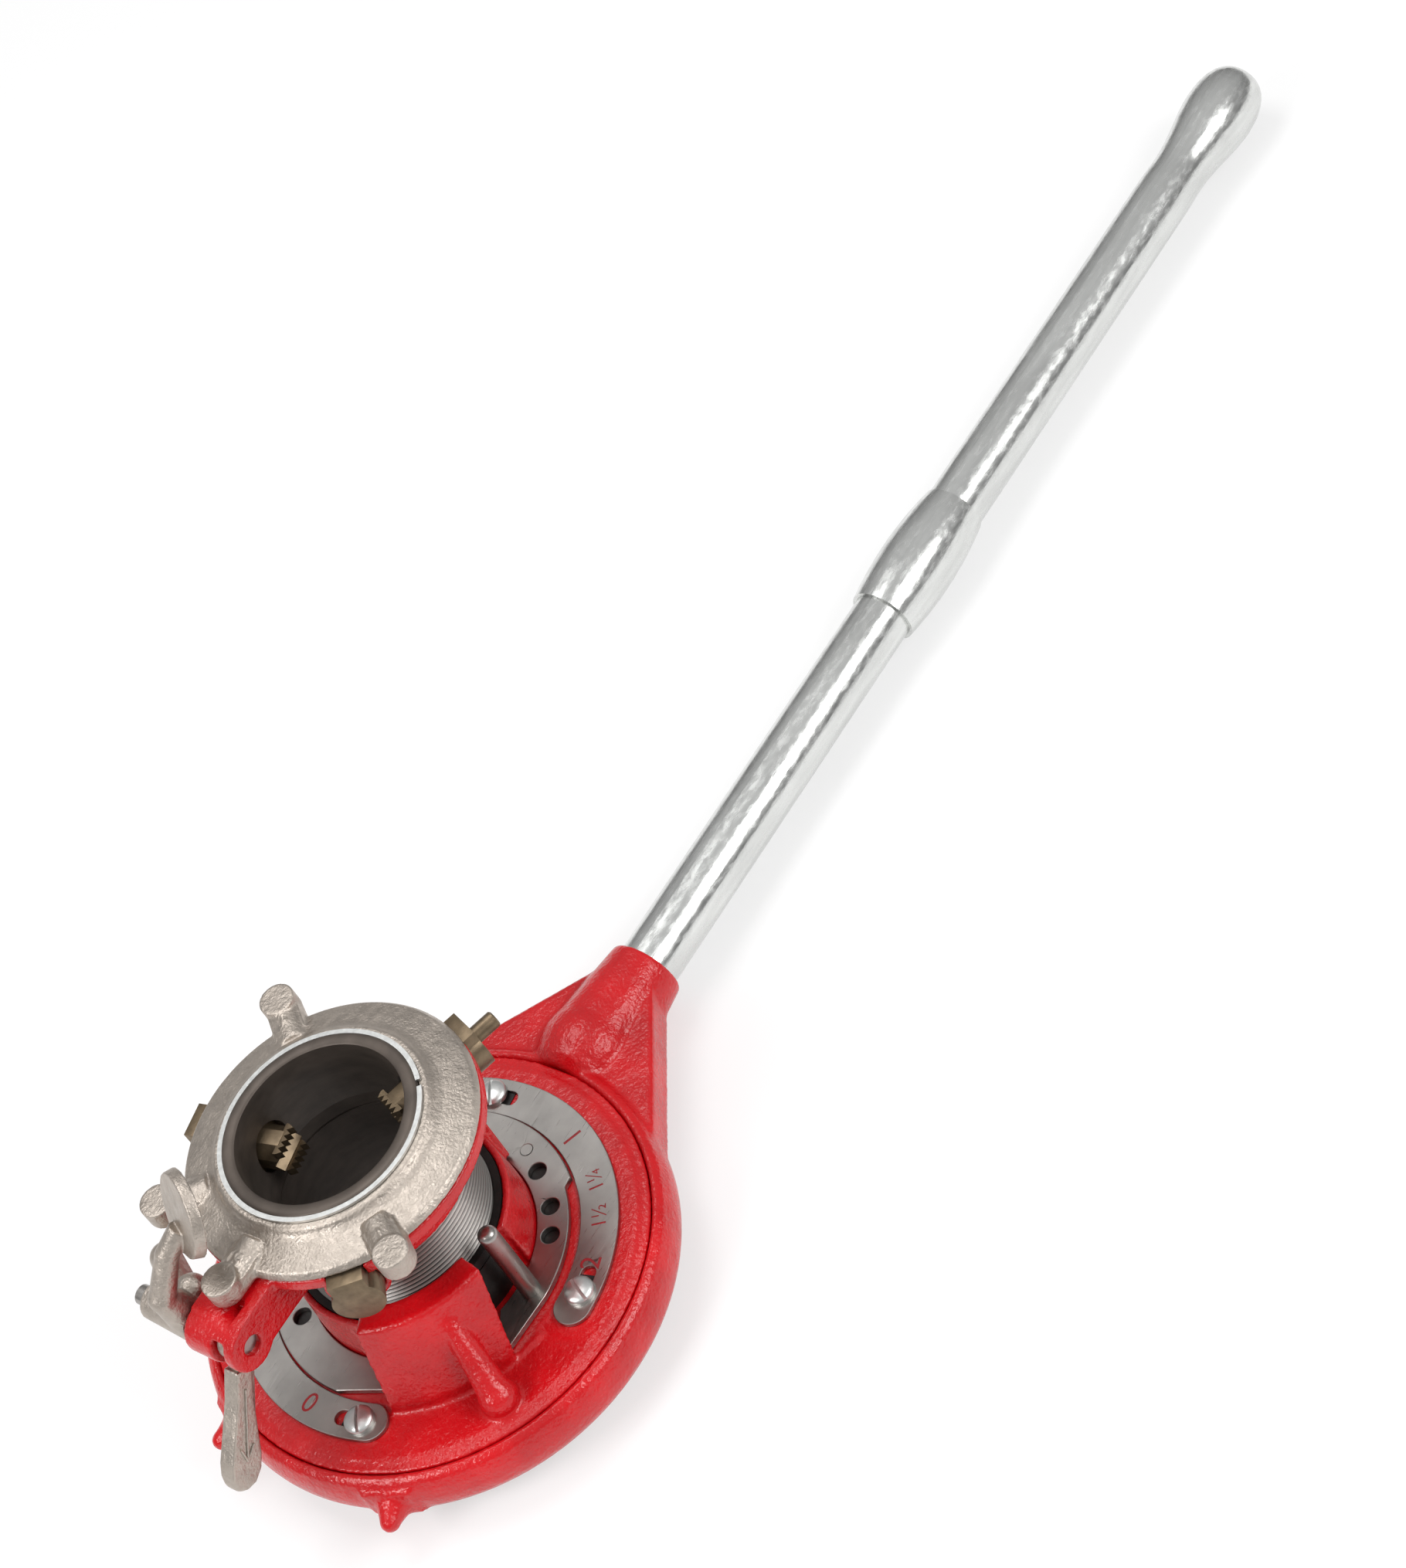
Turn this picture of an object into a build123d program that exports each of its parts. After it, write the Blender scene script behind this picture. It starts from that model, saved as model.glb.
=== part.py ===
from build123d import *
import os
from math import cos, hypot, radians, sin

# A ratchet pipe threader with receding dies. The die head turns inside a ratchet ring with a long
# handle, and screws itself along a hollow lead screw that a workholder clamps to the pipe.
# Frame: +Z runs along the pipe from the die head up to the workholder, +X along the handle, and the
# tool lies on its flat back face at Z = 0 with the pipe's axis at X = Y = 0. Millimetres.

# ---------------------------------------------------------------- driving dimensions
# Fits
running_gap = 0.3          # between castings that turn in each other
slip_gap = 0.1             # between machined slides and pins
seat_gap = 0.05            # between a fixed piece and its seat

# Pipe path and lead screw
pipe_bore_radius = 34.4
relief_radius = 34.8       # the bore below its guiding mouth
relief_top = 119.4
bore_groove_height = 92.0  # a turned groove inside the bore
bore_groove_width = 1.0
bore_groove_depth = 0.8
lead_screw_radius = 39.7
lead_screw_bottom = 37.0
lead_screw_top = 132.9
thread_pitch = 25.4 / 11.5
thread_depth = 1.2

# Die head
head_back = 3.1            # back end of the head's wall, which the cover closes
drum_radius = 86.2
drum_step_radius = 79.9
drum_step_height = 12.0
head_flange_radius = 91.6
head_flange_back = 31.3
head_flange_front = 34.1
disc_radius = 86.8
disc_front = 35.3
selector_seat_radius = 64.0
selector_seat_front = 36.2
web_back = 21.3
web_bore_radius = 40.3
hub_radius = 46.8
hub_lip_radius = 45.6
hub_top = 63.0
nut_seat_radius = 42.9
nut_seat_height = 36.0
carrier_seat_radius = 72.5
carrier_seat_height = 16.3
cam_room_radius = 71.5
tooth_count = 36
tooth_root_radius = 82.2
tooth_mouth_width = 7.0
tooth_root_width = 4.0
tooth_back = 15.0
tooth_height = 12.0

# Shield tower and stop post on the head's front
tower_angles = (-155.0, -99.0)
tower_top = 76.0
tower_top_radius = 56.0
tower_foot_radius = 67.2
tower_inner_radius = 45.0
tower_slant = 13.0
post_angles = (-12.0, 72.0)
post_top = 73.0
post_radius = 50.0
rib_angle = -120.5
rib_ball_radius = 5.6
rib_ball_reach = 79.5

# Cover and carrier
cover_thickness = 2.9
cover_bore_radius = 34.9
cover_screw_angles = (0.0, 90.0, 180.0, 270.0)
cover_screw_radius = 2.0
cover_screw_end = 11.0
keeper_thickness = 3.0       # the flat ring that keeps the ratchet ring on the head
keeper_radius = 91.0
keeper_screw_angles = (10.0, 130.0, 250.0)
keeper_screw_radius = 1.5
keeper_screw_end = 14.5
carrier_bore_radius = 36.0
carrier_floor = 2.6
die_angles = (45.0, 135.0, 225.0, 315.0)
die_width = 14.0
die_height = 9.9
die_tip_radius = 32.7           # with the head open
die_pin_reach = 65.0
die_pin_radius = 2.5
die_tail = 4.5
die_travel_per_radian = 15.67   # radial travel of a die for one radian of the selector
selector_range = (0.0, 66.0)    # from open down to the smallest pipe

# Selector
selector_thickness = 3.0
selector_gap = 0.2
selector_inner_radius = 47.3
selector_outer_radius = 63.6
selector_waist_radius = 60.4
selector_hook_angle = -113.0
selector_step_angle = -38.0
selector_end_angle = 202.5
selector_hole_radius = 3.75
selector_hole_reach = 53.2
selector_hole_angles = (-27.5, -47.4, -61.4, 143.7)
selector_pin_angle = -87.0
selector_pin_radius = 4.0
selector_pin_top = 82.7
selector_stem_radius = 3.0
cam_ring_thickness = 4.4
cam_ring_inner_radius = 43.0
cam_ring_outer_radius = 71.0
drive_pin_radius = 2.5
drive_pin_reach = 55.5
drive_pin_angles = (-15.0, 70.0)

# Scale plate
scale_thickness = 2.0
scale_middle_radius = 72.2
scale_width = 15.6
scale_angles = (-87.0, 198.0)
scale_screw_reach = 72.2
scale_screw_angles = (-82.0, 13.0, 98.0, 195.0)
scale_slot_span = 13.0
scale_screw_radius = 3.0
scale_screw_head_radius = 6.1
scale_screw_head_height = 3.9
screw_slot_width = 1.6

# Ratchet ring, socket and handle
ring_bore_radius = drum_radius + running_gap
ring_outer_radius = 98.8
ring_back = 12.3
ring_widest = 22.8
ring_front = 34.5
handle_height = 21.4
tube_radius = 12.7
tube_wall = 2.6
socket_mouth = 150.6
socket_mouth_radius = 15.6
socket_root = 92.5
socket_root_radius = 20.0
socket_depth = 46.0
gusset_reach = 138.0
gusset_half_angle = 35.0
gusset_back = 13.5
gusset_front = 30.5
nub_angles = (155.0, 205.0)
nub_reach = 104.8
nub_tip_radius = 4.6
coupling_start = 338.0
coupling_length = 59.4
coupling_radius = 16.35
coupling_end_radius = 14.3
handle_end = 659.0
knob_radius = 16.1
knob_start = 598.0
knob_widest = 638.0
tube_gap = 2.0

# Pawl
pawl_angle = 70.0
pawl_boss_radius = 12.5
pawl_boss_end = 112.0
pawl_radius = 6.0
pawl_tooth_tip = 82.8
pawl_shoulder = 98.0
pawl_stem_radius = 3.0
pawl_knob_start = 112.6
pawl_knob_end = 124.5
pawl_knob_radius = 8.0
pawl_cap_start = 104.6
spring_coils = 4
spring_wire = 0.9
spring_coil_radius = 4.5

# Workholder
flange_radius = 60.2
flange_back = 115.0
flange_front = 120.7
holder_hub_radius = 46.5
holder_hub_back = 97.0
holder_bore_radius = lead_screw_radius + seat_gap
jaw_angles = (102.0, 222.0, 342.0)
jaw_height = 108.0
jaw_radius = 9.9
jaw_boss_radius = 12.3
jaw_boss_end = 57.0
jaw_tip_radius = 22.6
jaw_end_radius = 65.0
jaw_head_start = 57.5
jaw_head_width = 14.0
jaw_head_top = 120.5
jaw_pin_reach = 49.0
jaw_pin_radius = 1.75
jaw_pin_top = 122.6
jaw_range = (-85.0, 100.0)
jaw_travel_per_radian = 4.12
jaw_tip_width = 12.0
jaw_serrations = 5
stud_angle = jaw_angles[2]
stud_height = 111.0
stud_radius = 3.5
stud_start = 61.2
stud_end = 75.5

# Cam plate
cam_plate_back = 121.0
cam_plate_rim = 124.2
cam_groove_top = 122.9
cam_plate_bore_radius = lead_screw_radius + running_gap
lug_angles = (54.0, 138.0, 181.0, 241.0)
lug_reach = 68.0
lug_peg_radius = 7.2
lug_top = 130.3
snap_ring_bottom = 131.0
snap_ring_thickness = 1.2
snap_ring_radius = 41.4
snap_groove_radius = 38.8
snap_gap_angle = -44.0

# Clamp ear, thumb lever and clamp arm
ear_x = -79.0
ear_radius = 10.6
ear_y = (-14.0, 11.4)
ear_slot_y = (-8.6, -2.4)
ear_slot_end = -68.5
ear_root_x = -38.0
shaft_radius = 4.0
shaft_y = (-11.5, 44.0)
washer_radius = 6.7
washer_y = (11.6, 13.2)
lever_y = (13.5, 42.0)
lever_hub_radius = 8.6
lever_neck_radius = 5.0
paddle_center = (-59.0, 13.0, 156.0)
paddle_radius = 15.5
paddle_thickness = 5.0
arm_y = (-8.0, -3.0)
arm_end_x = -112.0
arm_end_z = 62.6
arm_eye_radius = 8.0
arm_end_radius = 7.0


# ---------------------------------------------------------------- shared shapes
def polar(reach, angle):
    return (reach * cos(radians(angle)), reach * sin(radians(angle)))


def turn(outline, mode=Mode.ADD):
    """Revolve a (radius, height) outline about the pipe's axis."""
    with BuildSketch(Plane.XZ) as profile:
        with BuildLine():
            Polyline(*outline, close=True)
        make_face()
    revolve(profile.sketch, axis=Axis.Z, mode=mode)


def ring(inner, outer, bottom, top, mode=Mode.ADD):
    """A plain ring about the pipe's axis."""
    turn([(inner, bottom), (outer, bottom), (outer, top), (inner, top)], mode)


def radial_plane(angle, height, reach=0.0):
    """A plane square to the radius at an angle: its normal points outwards and its Y points up."""
    outwards = (cos(radians(angle)), sin(radians(angle)), 0)
    tangent = (-sin(radians(angle)), cos(radians(angle)), 0)
    origin = (reach * outwards[0], reach * outwards[1], height)
    return Plane(origin=origin, x_dir=tangent, z_dir=outwards)


def side_plane(angle):
    """An upright plane through the pipe's axis: its X points outwards and its Y points up."""
    return Plane(origin=(0, 0, 0), x_dir=(*polar(1, angle), 0), z_dir=(*polar(1, angle - 90), 0))


def side_slab(angle, outline, thickness, mode=Mode.ADD):
    """A flat slab that stands on a radius, from an outline of (reach, height) points."""
    with BuildSketch(side_plane(angle)) as section:
        with BuildLine():
            Polyline(*outline, close=True)
        make_face()
    extrude(section.sketch, amount=thickness / 2, both=True, mode=mode)


def sector(outline, start, end, mode=Mode.ADD):
    """Revolve a (radius, height) outline from one angle to another."""
    with BuildSketch(Plane.XZ) as section:
        with BuildLine():
            Polyline(*outline, close=True)
        make_face()
    piece = revolve(section.sketch, Axis.Z, end - start, mode=Mode.PRIVATE)
    add(Rot(Z=start) * piece, mode=mode)


def radial_rod(angle, height, radius, start, end, mode=Mode.ADD):
    """A round rod that runs out along a radius."""
    with BuildSketch(radial_plane(angle, height, start)) as section:
        Circle(radius)
    extrude(section.sketch, amount=end - start, mode=mode)


def radial_bar(angle, width, bottom, top, start, end, mode=Mode.ADD):
    """A rectangular bar that runs out along a radius."""
    with BuildSketch(radial_plane(angle, (bottom + top) / 2, start)) as section:
        Rectangle(width, top - bottom)
    extrude(section.sketch, amount=end - start, mode=mode)


def upright(angles, reach, radius, bottom, top, mode=Mode.ADD):
    """Round upright rods or holes at one radius from the pipe's axis."""
    with BuildSketch(Plane.XY.offset(bottom)) as section:
        for angle in angles:
            with Locations(polar(reach, angle)):
                Circle(radius)
    extrude(section.sketch, amount=top - bottom, mode=mode)


def cross_rod(x, height, radius, y_range, mode=Mode.ADD):
    """A round rod along Y."""
    with BuildSketch(Plane.XZ.offset(-y_range[1])) as section:
        with Locations((x, height)):
            Circle(radius)
    extrude(section.sketch, amount=y_range[1] - y_range[0], mode=mode)


def arc_slots(reach, width, spans, bottom, top, mode=Mode.SUBTRACT):
    """Curved slots about the pipe's axis, one for each (start, end) pair of angles."""
    with BuildSketch(Plane.XY.offset(bottom)) as section:
        for start, end in spans:
            path = CenterArc((0, 0), reach, start, end - start, mode=Mode.PRIVATE)
            SlotArc(path, width)
    extrude(section.sketch, amount=top - bottom, mode=mode)


def spiral_groove(reach, rise_per_radian, start, end, width, bottom, top):
    """The solid of a groove whose radius grows evenly with the angle, from reach at angle zero."""
    steps = 24
    angles = [start + (end - start) * n / steps for n in range(steps + 1)]
    reaches = [reach + rise_per_radian * radians(a) for a in angles]
    halves = [width / 2 * hypot(1, rise_per_radian / r) for r in reaches]
    inner = [polar(r - half, a) for r, half, a in zip(reaches, halves, angles)]
    outer = [polar(r + half, a) for r, half, a in zip(reaches, halves, angles)]
    with BuildSketch(Plane.XY.offset(bottom)) as section:
        with BuildLine():
            Spline(*inner)
            Line(inner[-1], outer[-1])
            Spline(*outer)
            Line(outer[0], inner[0])
        make_face()
        with Locations(polar(reaches[0], angles[0]), polar(reaches[-1], angles[-1])):
            Circle(width / 2)
    return extrude(section.sketch, amount=top - bottom, mode=Mode.PRIVATE)


def save(builder, name):
    builder.part.label = name
    export_step(builder.part, f"parts/{name}.step")


os.makedirs("parts", exist_ok=True)
drive_spans = [(a + selector_range[0], a + selector_range[1]) for a in drive_pin_angles]
selector_bottom = selector_seat_front + selector_gap
selector_top = selector_bottom + selector_thickness
die_bottom = head_back + carrier_floor + running_gap
die_top = die_bottom + die_height
cam_ring_bottom = carrier_seat_height + running_gap
cam_ring_top = cam_ring_bottom + cam_ring_thickness
scale_top = disc_front + scale_thickness
cover_radius = drum_step_radius - 0.3
cover_screw_reach = (carrier_seat_radius + drum_step_radius) / 2
keeper_screw_reach = (drum_step_radius + drum_radius) / 2
handle_axis = Axis((0, 0, handle_height), (1, 0, 0))

# ---------------------------------------------------------------- die head
with BuildPart() as die_head_body:
    turn([
        (web_bore_radius, web_back), (cam_room_radius, web_back),
        (cam_room_radius, carrier_seat_height), (carrier_seat_radius, carrier_seat_height),
        (carrier_seat_radius, head_back), (drum_step_radius, head_back),
        (drum_step_radius, drum_step_height), (drum_radius, drum_step_height),
        (drum_radius, head_flange_back), (head_flange_radius, head_flange_back),
        (head_flange_radius, head_flange_front), (disc_radius + 1.6, head_flange_front),
        (disc_radius, disc_front), (selector_seat_radius, disc_front),
        (selector_seat_radius, selector_seat_front), (hub_radius, selector_seat_front),
        (hub_radius, 44.0), (hub_lip_radius, hub_top), (nut_seat_radius, hub_top),
        (nut_seat_radius, nut_seat_height), (web_bore_radius, nut_seat_height),
    ])
    # The shield tower: a leaning wall that bridges the selector plate and joins the hub.
    tunnel_top = selector_top + 1.0
    sector([
        (tower_inner_radius, tunnel_top), (selector_seat_radius + 0.4, tunnel_top),
        (selector_seat_radius + 0.4, disc_front - 1), (tower_foot_radius, disc_front - 1),
        (tower_foot_radius, tunnel_top), (tower_top_radius, tower_top), (tower_inner_radius, tower_top),
    ], *tower_angles)
    # Its right flank leans back towards the foot.
    flank = radial_plane(tower_angles[1], tower_top, 40.0)
    with BuildSketch(flank) as flank_cut:
        with BuildLine():
            Polyline(
                (0.5, 0.5), (-tower_slant, disc_front + 1.2 - tower_top),
                (20, disc_front + 1.2 - tower_top), (20, 0.5), close=True,
            )
        make_face()
    extrude(flank_cut.sketch, amount=40, mode=Mode.SUBTRACT)
    # The stop post on the other side of the hub.
    sector([
        (nut_seat_radius, tunnel_top), (post_radius, tunnel_top),
        (post_radius, post_top), (nut_seat_radius, post_top),
    ], *post_angles)
    ring(lead_screw_radius - 2, nut_seat_radius, nut_seat_height, tower_top + 1, Mode.SUBTRACT)
    # A rib runs down the tower's back to a ball foot on the disc.
    side_slab(rib_angle, [
        (tower_top_radius - 1, tower_top - 12), (rib_ball_reach, disc_front + 5),
        (rib_ball_reach, disc_front - 1), (tower_foot_radius - 2, disc_front - 1),
        (tower_foot_radius - 2, tunnel_top),
    ], 6.4)
    with Locations((*polar(rib_ball_reach, rib_angle), disc_front + 1.5)):
        Sphere(rib_ball_radius)
    # Ratchet teeth.
    with BuildSketch(Plane.XY.offset(tooth_back)) as tooth_gaps:
        with PolarLocations(0, tooth_count, start_angle=pawl_angle):
            Polygon(
                (drum_radius + 1, tooth_mouth_width / 2), (tooth_root_radius, tooth_root_width / 2),
                (tooth_root_radius, -tooth_root_width / 2), (drum_radius + 1, -tooth_mouth_width / 2),
                align=None,
            )
    extrude(tooth_gaps.sketch, amount=tooth_height, mode=Mode.SUBTRACT)
    drive_slot_width = 2 * (drive_pin_radius + running_gap)
    arc_slots(drive_pin_reach, drive_slot_width, drive_spans, web_back - 1, selector_seat_front + 1)
    screw_hole_radius = scale_screw_radius + seat_gap
    upright(
        scale_screw_angles, scale_screw_reach, screw_hole_radius,
        disc_front - 8, disc_front + 1, Mode.SUBTRACT,
    )
    upright(
        cover_screw_angles, cover_screw_reach, cover_screw_radius + seat_gap,
        0, cover_screw_end, Mode.SUBTRACT,
    )
    upright(
        keeper_screw_angles, keeper_screw_reach, keeper_screw_radius + seat_gap,
        0, keeper_screw_end, Mode.SUBTRACT,
    )
save(die_head_body, "die_head_body")

with BuildPart() as lead_nut:
    nut_top = hub_top - 5.0
    ring(lead_screw_radius + slip_gap, nut_seat_radius - seat_gap, nut_seat_height + seat_gap, nut_top)
save(lead_nut, "lead_nut")

with BuildPart() as scale_plate:
    arc_slots(scale_middle_radius, scale_width, [scale_angles], disc_front, scale_top, Mode.ADD)
    slot_spans = [(a - scale_slot_span / 2, a + scale_slot_span / 2) for a in scale_screw_angles[1:3]]
    slot_spans.append((scale_screw_angles[0] - 1.5, scale_screw_angles[0] + scale_slot_span / 2))
    slot_spans.append((scale_screw_angles[3] - scale_slot_span / 2, scale_screw_angles[3] + 1.0))
    slot_width = 2 * (scale_screw_radius + slip_gap)
    arc_slots(scale_screw_reach, slot_width, slot_spans, disc_front - 1, scale_top + 1)
save(scale_plate, "scale_plate")

with BuildPart() as scale_screws:
    upright(scale_screw_angles, scale_screw_reach, scale_screw_radius, disc_front - 7.5, scale_top + 1)
    head_profile = [
        (0, scale_top), (scale_screw_head_radius, scale_top), (scale_screw_head_radius, scale_top + 1.4),
        (scale_screw_head_radius - 1.6, scale_top + 3.2), (0, scale_top + scale_screw_head_height),
    ]
    with BuildSketch(Plane.XZ) as head_outline:
        with BuildLine():
            Polyline(*head_profile, close=True)
        make_face()
    screw_head = revolve(head_outline.sketch, Axis.Z, mode=Mode.PRIVATE)
    for screw_angle in scale_screw_angles:
        add(Pos(*polar(scale_screw_reach, screw_angle), 0) * screw_head)
        with Locations(Pos(*polar(scale_screw_reach, screw_angle), scale_top + scale_screw_head_height)):
            Box(2.2 * scale_screw_head_radius, screw_slot_width, 3.6, mode=Mode.SUBTRACT)
save(scale_screws, "scale_screws")

with BuildPart() as die_carrier:
    carrier_radius = carrier_seat_radius - seat_gap
    ring(carrier_bore_radius, carrier_radius, head_back + seat_gap, carrier_seat_height - seat_gap)
    for die_angle in die_angles:
        radial_bar(
            die_angle, die_width + 2 * slip_gap, head_back + carrier_floor, carrier_seat_height + 1,
            carrier_bore_radius - 5, carrier_seat_radius + 1, Mode.SUBTRACT,
        )
save(die_carrier, "die_carrier")

for number, die_angle in enumerate(die_angles, start=1):
    with BuildPart() as die:
        die_end = die_pin_reach + die_tail
        tooth_line = [(die_tip_radius + 5, die_top)]
        for tooth in range(int(die_height / thread_pitch)):
            tooth_line.append((die_tip_radius, die_top - (tooth + 0.4) * thread_pitch))
            tooth_line.append((die_tip_radius + thread_depth, die_top - (tooth + 1.0) * thread_pitch))
        side_slab(die_angle, [
            (die_end, die_bottom), (die_end, die_top), *tooth_line, (die_tip_radius + 3, die_bottom),
        ], die_width)
        upright([die_angle], die_pin_reach, die_pin_radius, die_top - 1, cam_ring_top - running_gap)
    save(die, f"die_{number}")

with BuildPart() as cover_plate:
    ring(cover_bore_radius, cover_radius, 0, cover_thickness)
    upright(
        cover_screw_angles, cover_screw_reach, cover_screw_radius + slip_gap,
        -1, cover_thickness + 1, Mode.SUBTRACT,
    )
save(cover_plate, "cover_plate")

with BuildPart() as cover_screws:
    upright(cover_screw_angles, cover_screw_reach, cover_screw_radius, 1.0, cover_screw_end - 0.5)
save(cover_screws, "cover_screws")

with BuildPart() as ring_keeper:
    keeper_top = drum_step_height - seat_gap
    keeper_bottom = keeper_top - keeper_thickness
    ring(drum_step_radius + slip_gap, keeper_radius, keeper_bottom, keeper_top)
    upright(
        keeper_screw_angles, keeper_screw_reach, keeper_screw_radius + slip_gap,
        keeper_bottom - 1, keeper_top + 1, Mode.SUBTRACT,
    )
save(ring_keeper, "ring_keeper")

with BuildPart() as keeper_screws:
    for radius, bottom, top in (
        (keeper_screw_radius, keeper_bottom, keeper_screw_end - 0.5),
        (2 * keeper_screw_radius, keeper_bottom - 1.6, keeper_bottom),
    ):
        upright(keeper_screw_angles, keeper_screw_reach, radius, bottom, top)
save(keeper_screws, "keeper_screws")

# ---------------------------------------------------------------- selector: plate, cam ring and pins
with BuildPart() as die_cam_ring:
    ring(cam_ring_inner_radius, cam_ring_outer_radius, cam_ring_bottom, cam_ring_top)
    for die_angle in die_angles:
        groove = spiral_groove(
            die_pin_reach, die_travel_per_radian, -selector_range[1] - 2, -selector_range[0] + 2,
            2 * (die_pin_radius + slip_gap), cam_ring_bottom - 1, cam_ring_top + 1,
        )
        add(Rot(Z=die_angle) * groove, mode=Mode.SUBTRACT)
    upright(
        drive_pin_angles, drive_pin_reach, drive_pin_radius + seat_gap,
        cam_ring_bottom - 1, cam_ring_top + 1, Mode.SUBTRACT,
    )
save(die_cam_ring, "die_cam_ring")

with BuildPart() as drive_pins:
    upright(drive_pin_angles, drive_pin_reach, drive_pin_radius, cam_ring_bottom + 0.5, selector_top)
save(drive_pins, "drive_pins")

with BuildPart() as selector_plate:
    hook_inside = polar(selector_inner_radius, selector_hook_angle + 12)
    hook_tip = polar(selector_outer_radius - 2, selector_hook_angle)
    hook_outside = polar(selector_outer_radius, selector_hook_angle + 2)
    waist_start = selector_hook_angle + 25
    waist_end = selector_step_angle - 3
    taper_start = selector_end_angle - 20
    end_outside = polar(selector_outer_radius - 4, selector_end_angle)
    with BuildSketch(Plane.XY.offset(selector_bottom)) as selector_outline:
        with BuildLine():
            CenterArc(
                (0, 0), selector_inner_radius, selector_hook_angle + 12,
                selector_end_angle - selector_hook_angle - 12,
            )
            Line(polar(selector_inner_radius, selector_end_angle), end_outside)
            Line(end_outside, polar(selector_outer_radius, taper_start))
            CenterArc((0, 0), selector_outer_radius, selector_step_angle, taper_start - selector_step_angle)
            Line(polar(selector_outer_radius, selector_step_angle), polar(selector_waist_radius, waist_end))
            CenterArc((0, 0), selector_waist_radius, waist_end, waist_start - waist_end)
            Polyline(polar(selector_waist_radius, waist_start), hook_outside, hook_tip, hook_inside)
        make_face()
    extrude(selector_outline.sketch, amount=selector_thickness)
    for hole_angles, reach, radius in (
        (selector_hole_angles, selector_hole_reach, selector_hole_radius),
        (drive_pin_angles, drive_pin_reach, drive_pin_radius + seat_gap),
        ([selector_pin_angle], selector_hole_reach, selector_stem_radius + seat_gap),
    ):
        upright(hole_angles, reach, radius, selector_bottom - 1, selector_top + 1, Mode.SUBTRACT)
save(selector_plate, "selector_plate")

with BuildPart() as selector_pin:
    upright([selector_pin_angle], selector_hole_reach, selector_pin_radius, selector_top, selector_pin_top)
    fillet(selector_pin.edges().filter_by(GeomType.CIRCLE).sort_by(Axis.Z)[-1], selector_pin_radius - 0.8)
    upright([selector_pin_angle], selector_hole_reach, selector_stem_radius, selector_bottom, selector_top)
save(selector_pin, "selector_pin")

# ---------------------------------------------------------------- ratchet ring and handle
with BuildPart() as ratchet_ring:
    turn([
        (ring_bore_radius, ring_back), (94.0, ring_back), (96.8, ring_back + 2.4), (98.3, ring_back + 6.0),
        (ring_outer_radius, ring_widest), (98.2, ring_widest + 5.0), (96.4, ring_front - 2.0),
        (93.8, ring_front), (head_flange_radius + running_gap, ring_front - 0.6),
        (head_flange_radius + running_gap, head_flange_back - running_gap),
        (ring_bore_radius, head_flange_back - running_gap),
    ])
    # Handle socket with a domed root, and a web on each side of it.
    with BuildSketch(Plane.XZ) as socket_profile:
        with BuildLine():
            Polyline(
                (socket_root - 5, handle_height), (socket_root - 5, handle_height + 9),
                (socket_root - 2, handle_height + 15), (socket_root + 4, handle_height + 18.8),
                (socket_root + 12, handle_height + socket_root_radius),
                (socket_mouth - 32, handle_height + socket_root_radius - 0.6),
                (socket_mouth, handle_height + socket_mouth_radius), (socket_mouth, handle_height),
                close=True,
            )
        make_face()
    revolve(socket_profile.sketch, handle_axis)
    with BuildSketch(Plane.XY.offset(gusset_back)) as gusset:
        with BuildLine():
            near_x, near_y = polar(ring_outer_radius - 1.5, gusset_half_angle)
            Polyline(
                (near_x, near_y), (gusset_reach, socket_mouth_radius),
                (gusset_reach, -socket_mouth_radius), (near_x, -near_y), close=True,
            )
        make_face()
    extrude(gusset.sketch, amount=gusset_front - gusset_back)
    # Two cast nubs opposite the handle.
    for nub_angle in nub_angles:
        with BuildSketch(Plane.XY.offset(ring_back + 3)) as nub:
            with BuildLine():
                base = [polar(ring_outer_radius - 2, nub_angle + side) for side in (-7.5, 7.5)]
                tip = [polar(nub_reach, nub_angle + side) for side in (2.4, -2.4)]
                Polyline(base[0], base[1], tip[0], tip[1], close=True)
            make_face()
            with Locations(polar(nub_reach, nub_angle)):
                Circle(nub_tip_radius)
        extrude(nub.sketch, amount=ring_front - ring_back - 7)
    radial_rod(pawl_angle, handle_height, pawl_boss_radius, ring_bore_radius, pawl_boss_end)
    ring(0, ring_bore_radius, -5, head_flange_back - running_gap, Mode.SUBTRACT)
    ring(0, head_flange_radius + running_gap, head_flange_back - running_gap, 60, Mode.SUBTRACT)
    ring(0, keeper_radius + running_gap, -5, ring_back, Mode.SUBTRACT)
    radial_rod(
        pawl_angle, handle_height, pawl_radius + slip_gap,
        ring_bore_radius - 2, pawl_boss_end + 1, Mode.SUBTRACT,
    )
    with BuildSketch(Plane.YZ.offset(socket_mouth - socket_depth)) as socket_bore:
        with Locations((0, handle_height)):
            Circle(tube_radius + seat_gap)
    extrude(socket_bore.sketch, amount=socket_depth + 1, mode=Mode.SUBTRACT)
save(ratchet_ring, "ratchet_ring")

tube_start = socket_mouth - socket_depth + 0.5
coupling_end = coupling_start + coupling_length
coupling_middle = (coupling_start + coupling_end) / 2


def handle_turn(outline, mode=Mode.ADD):
    """Revolve an outline of (distance along the handle, radius) points about the handle's axis."""
    with BuildSketch(Plane.XZ) as profile:
        with BuildLine():
            Polyline(*[(x, handle_height + r) for x, r in outline], close=True)
        make_face()
    revolve(profile.sketch, axis=handle_axis, mode=mode)


with BuildPart() as lower_handle_tube:
    tube_bore = tube_radius - tube_wall
    lower_end = coupling_middle - tube_gap / 2
    handle_turn([
        (tube_start, tube_bore), (tube_start, tube_radius), (lower_end, tube_radius), (lower_end, tube_bore),
    ])
save(lower_handle_tube, "lower_handle_tube")

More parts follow.
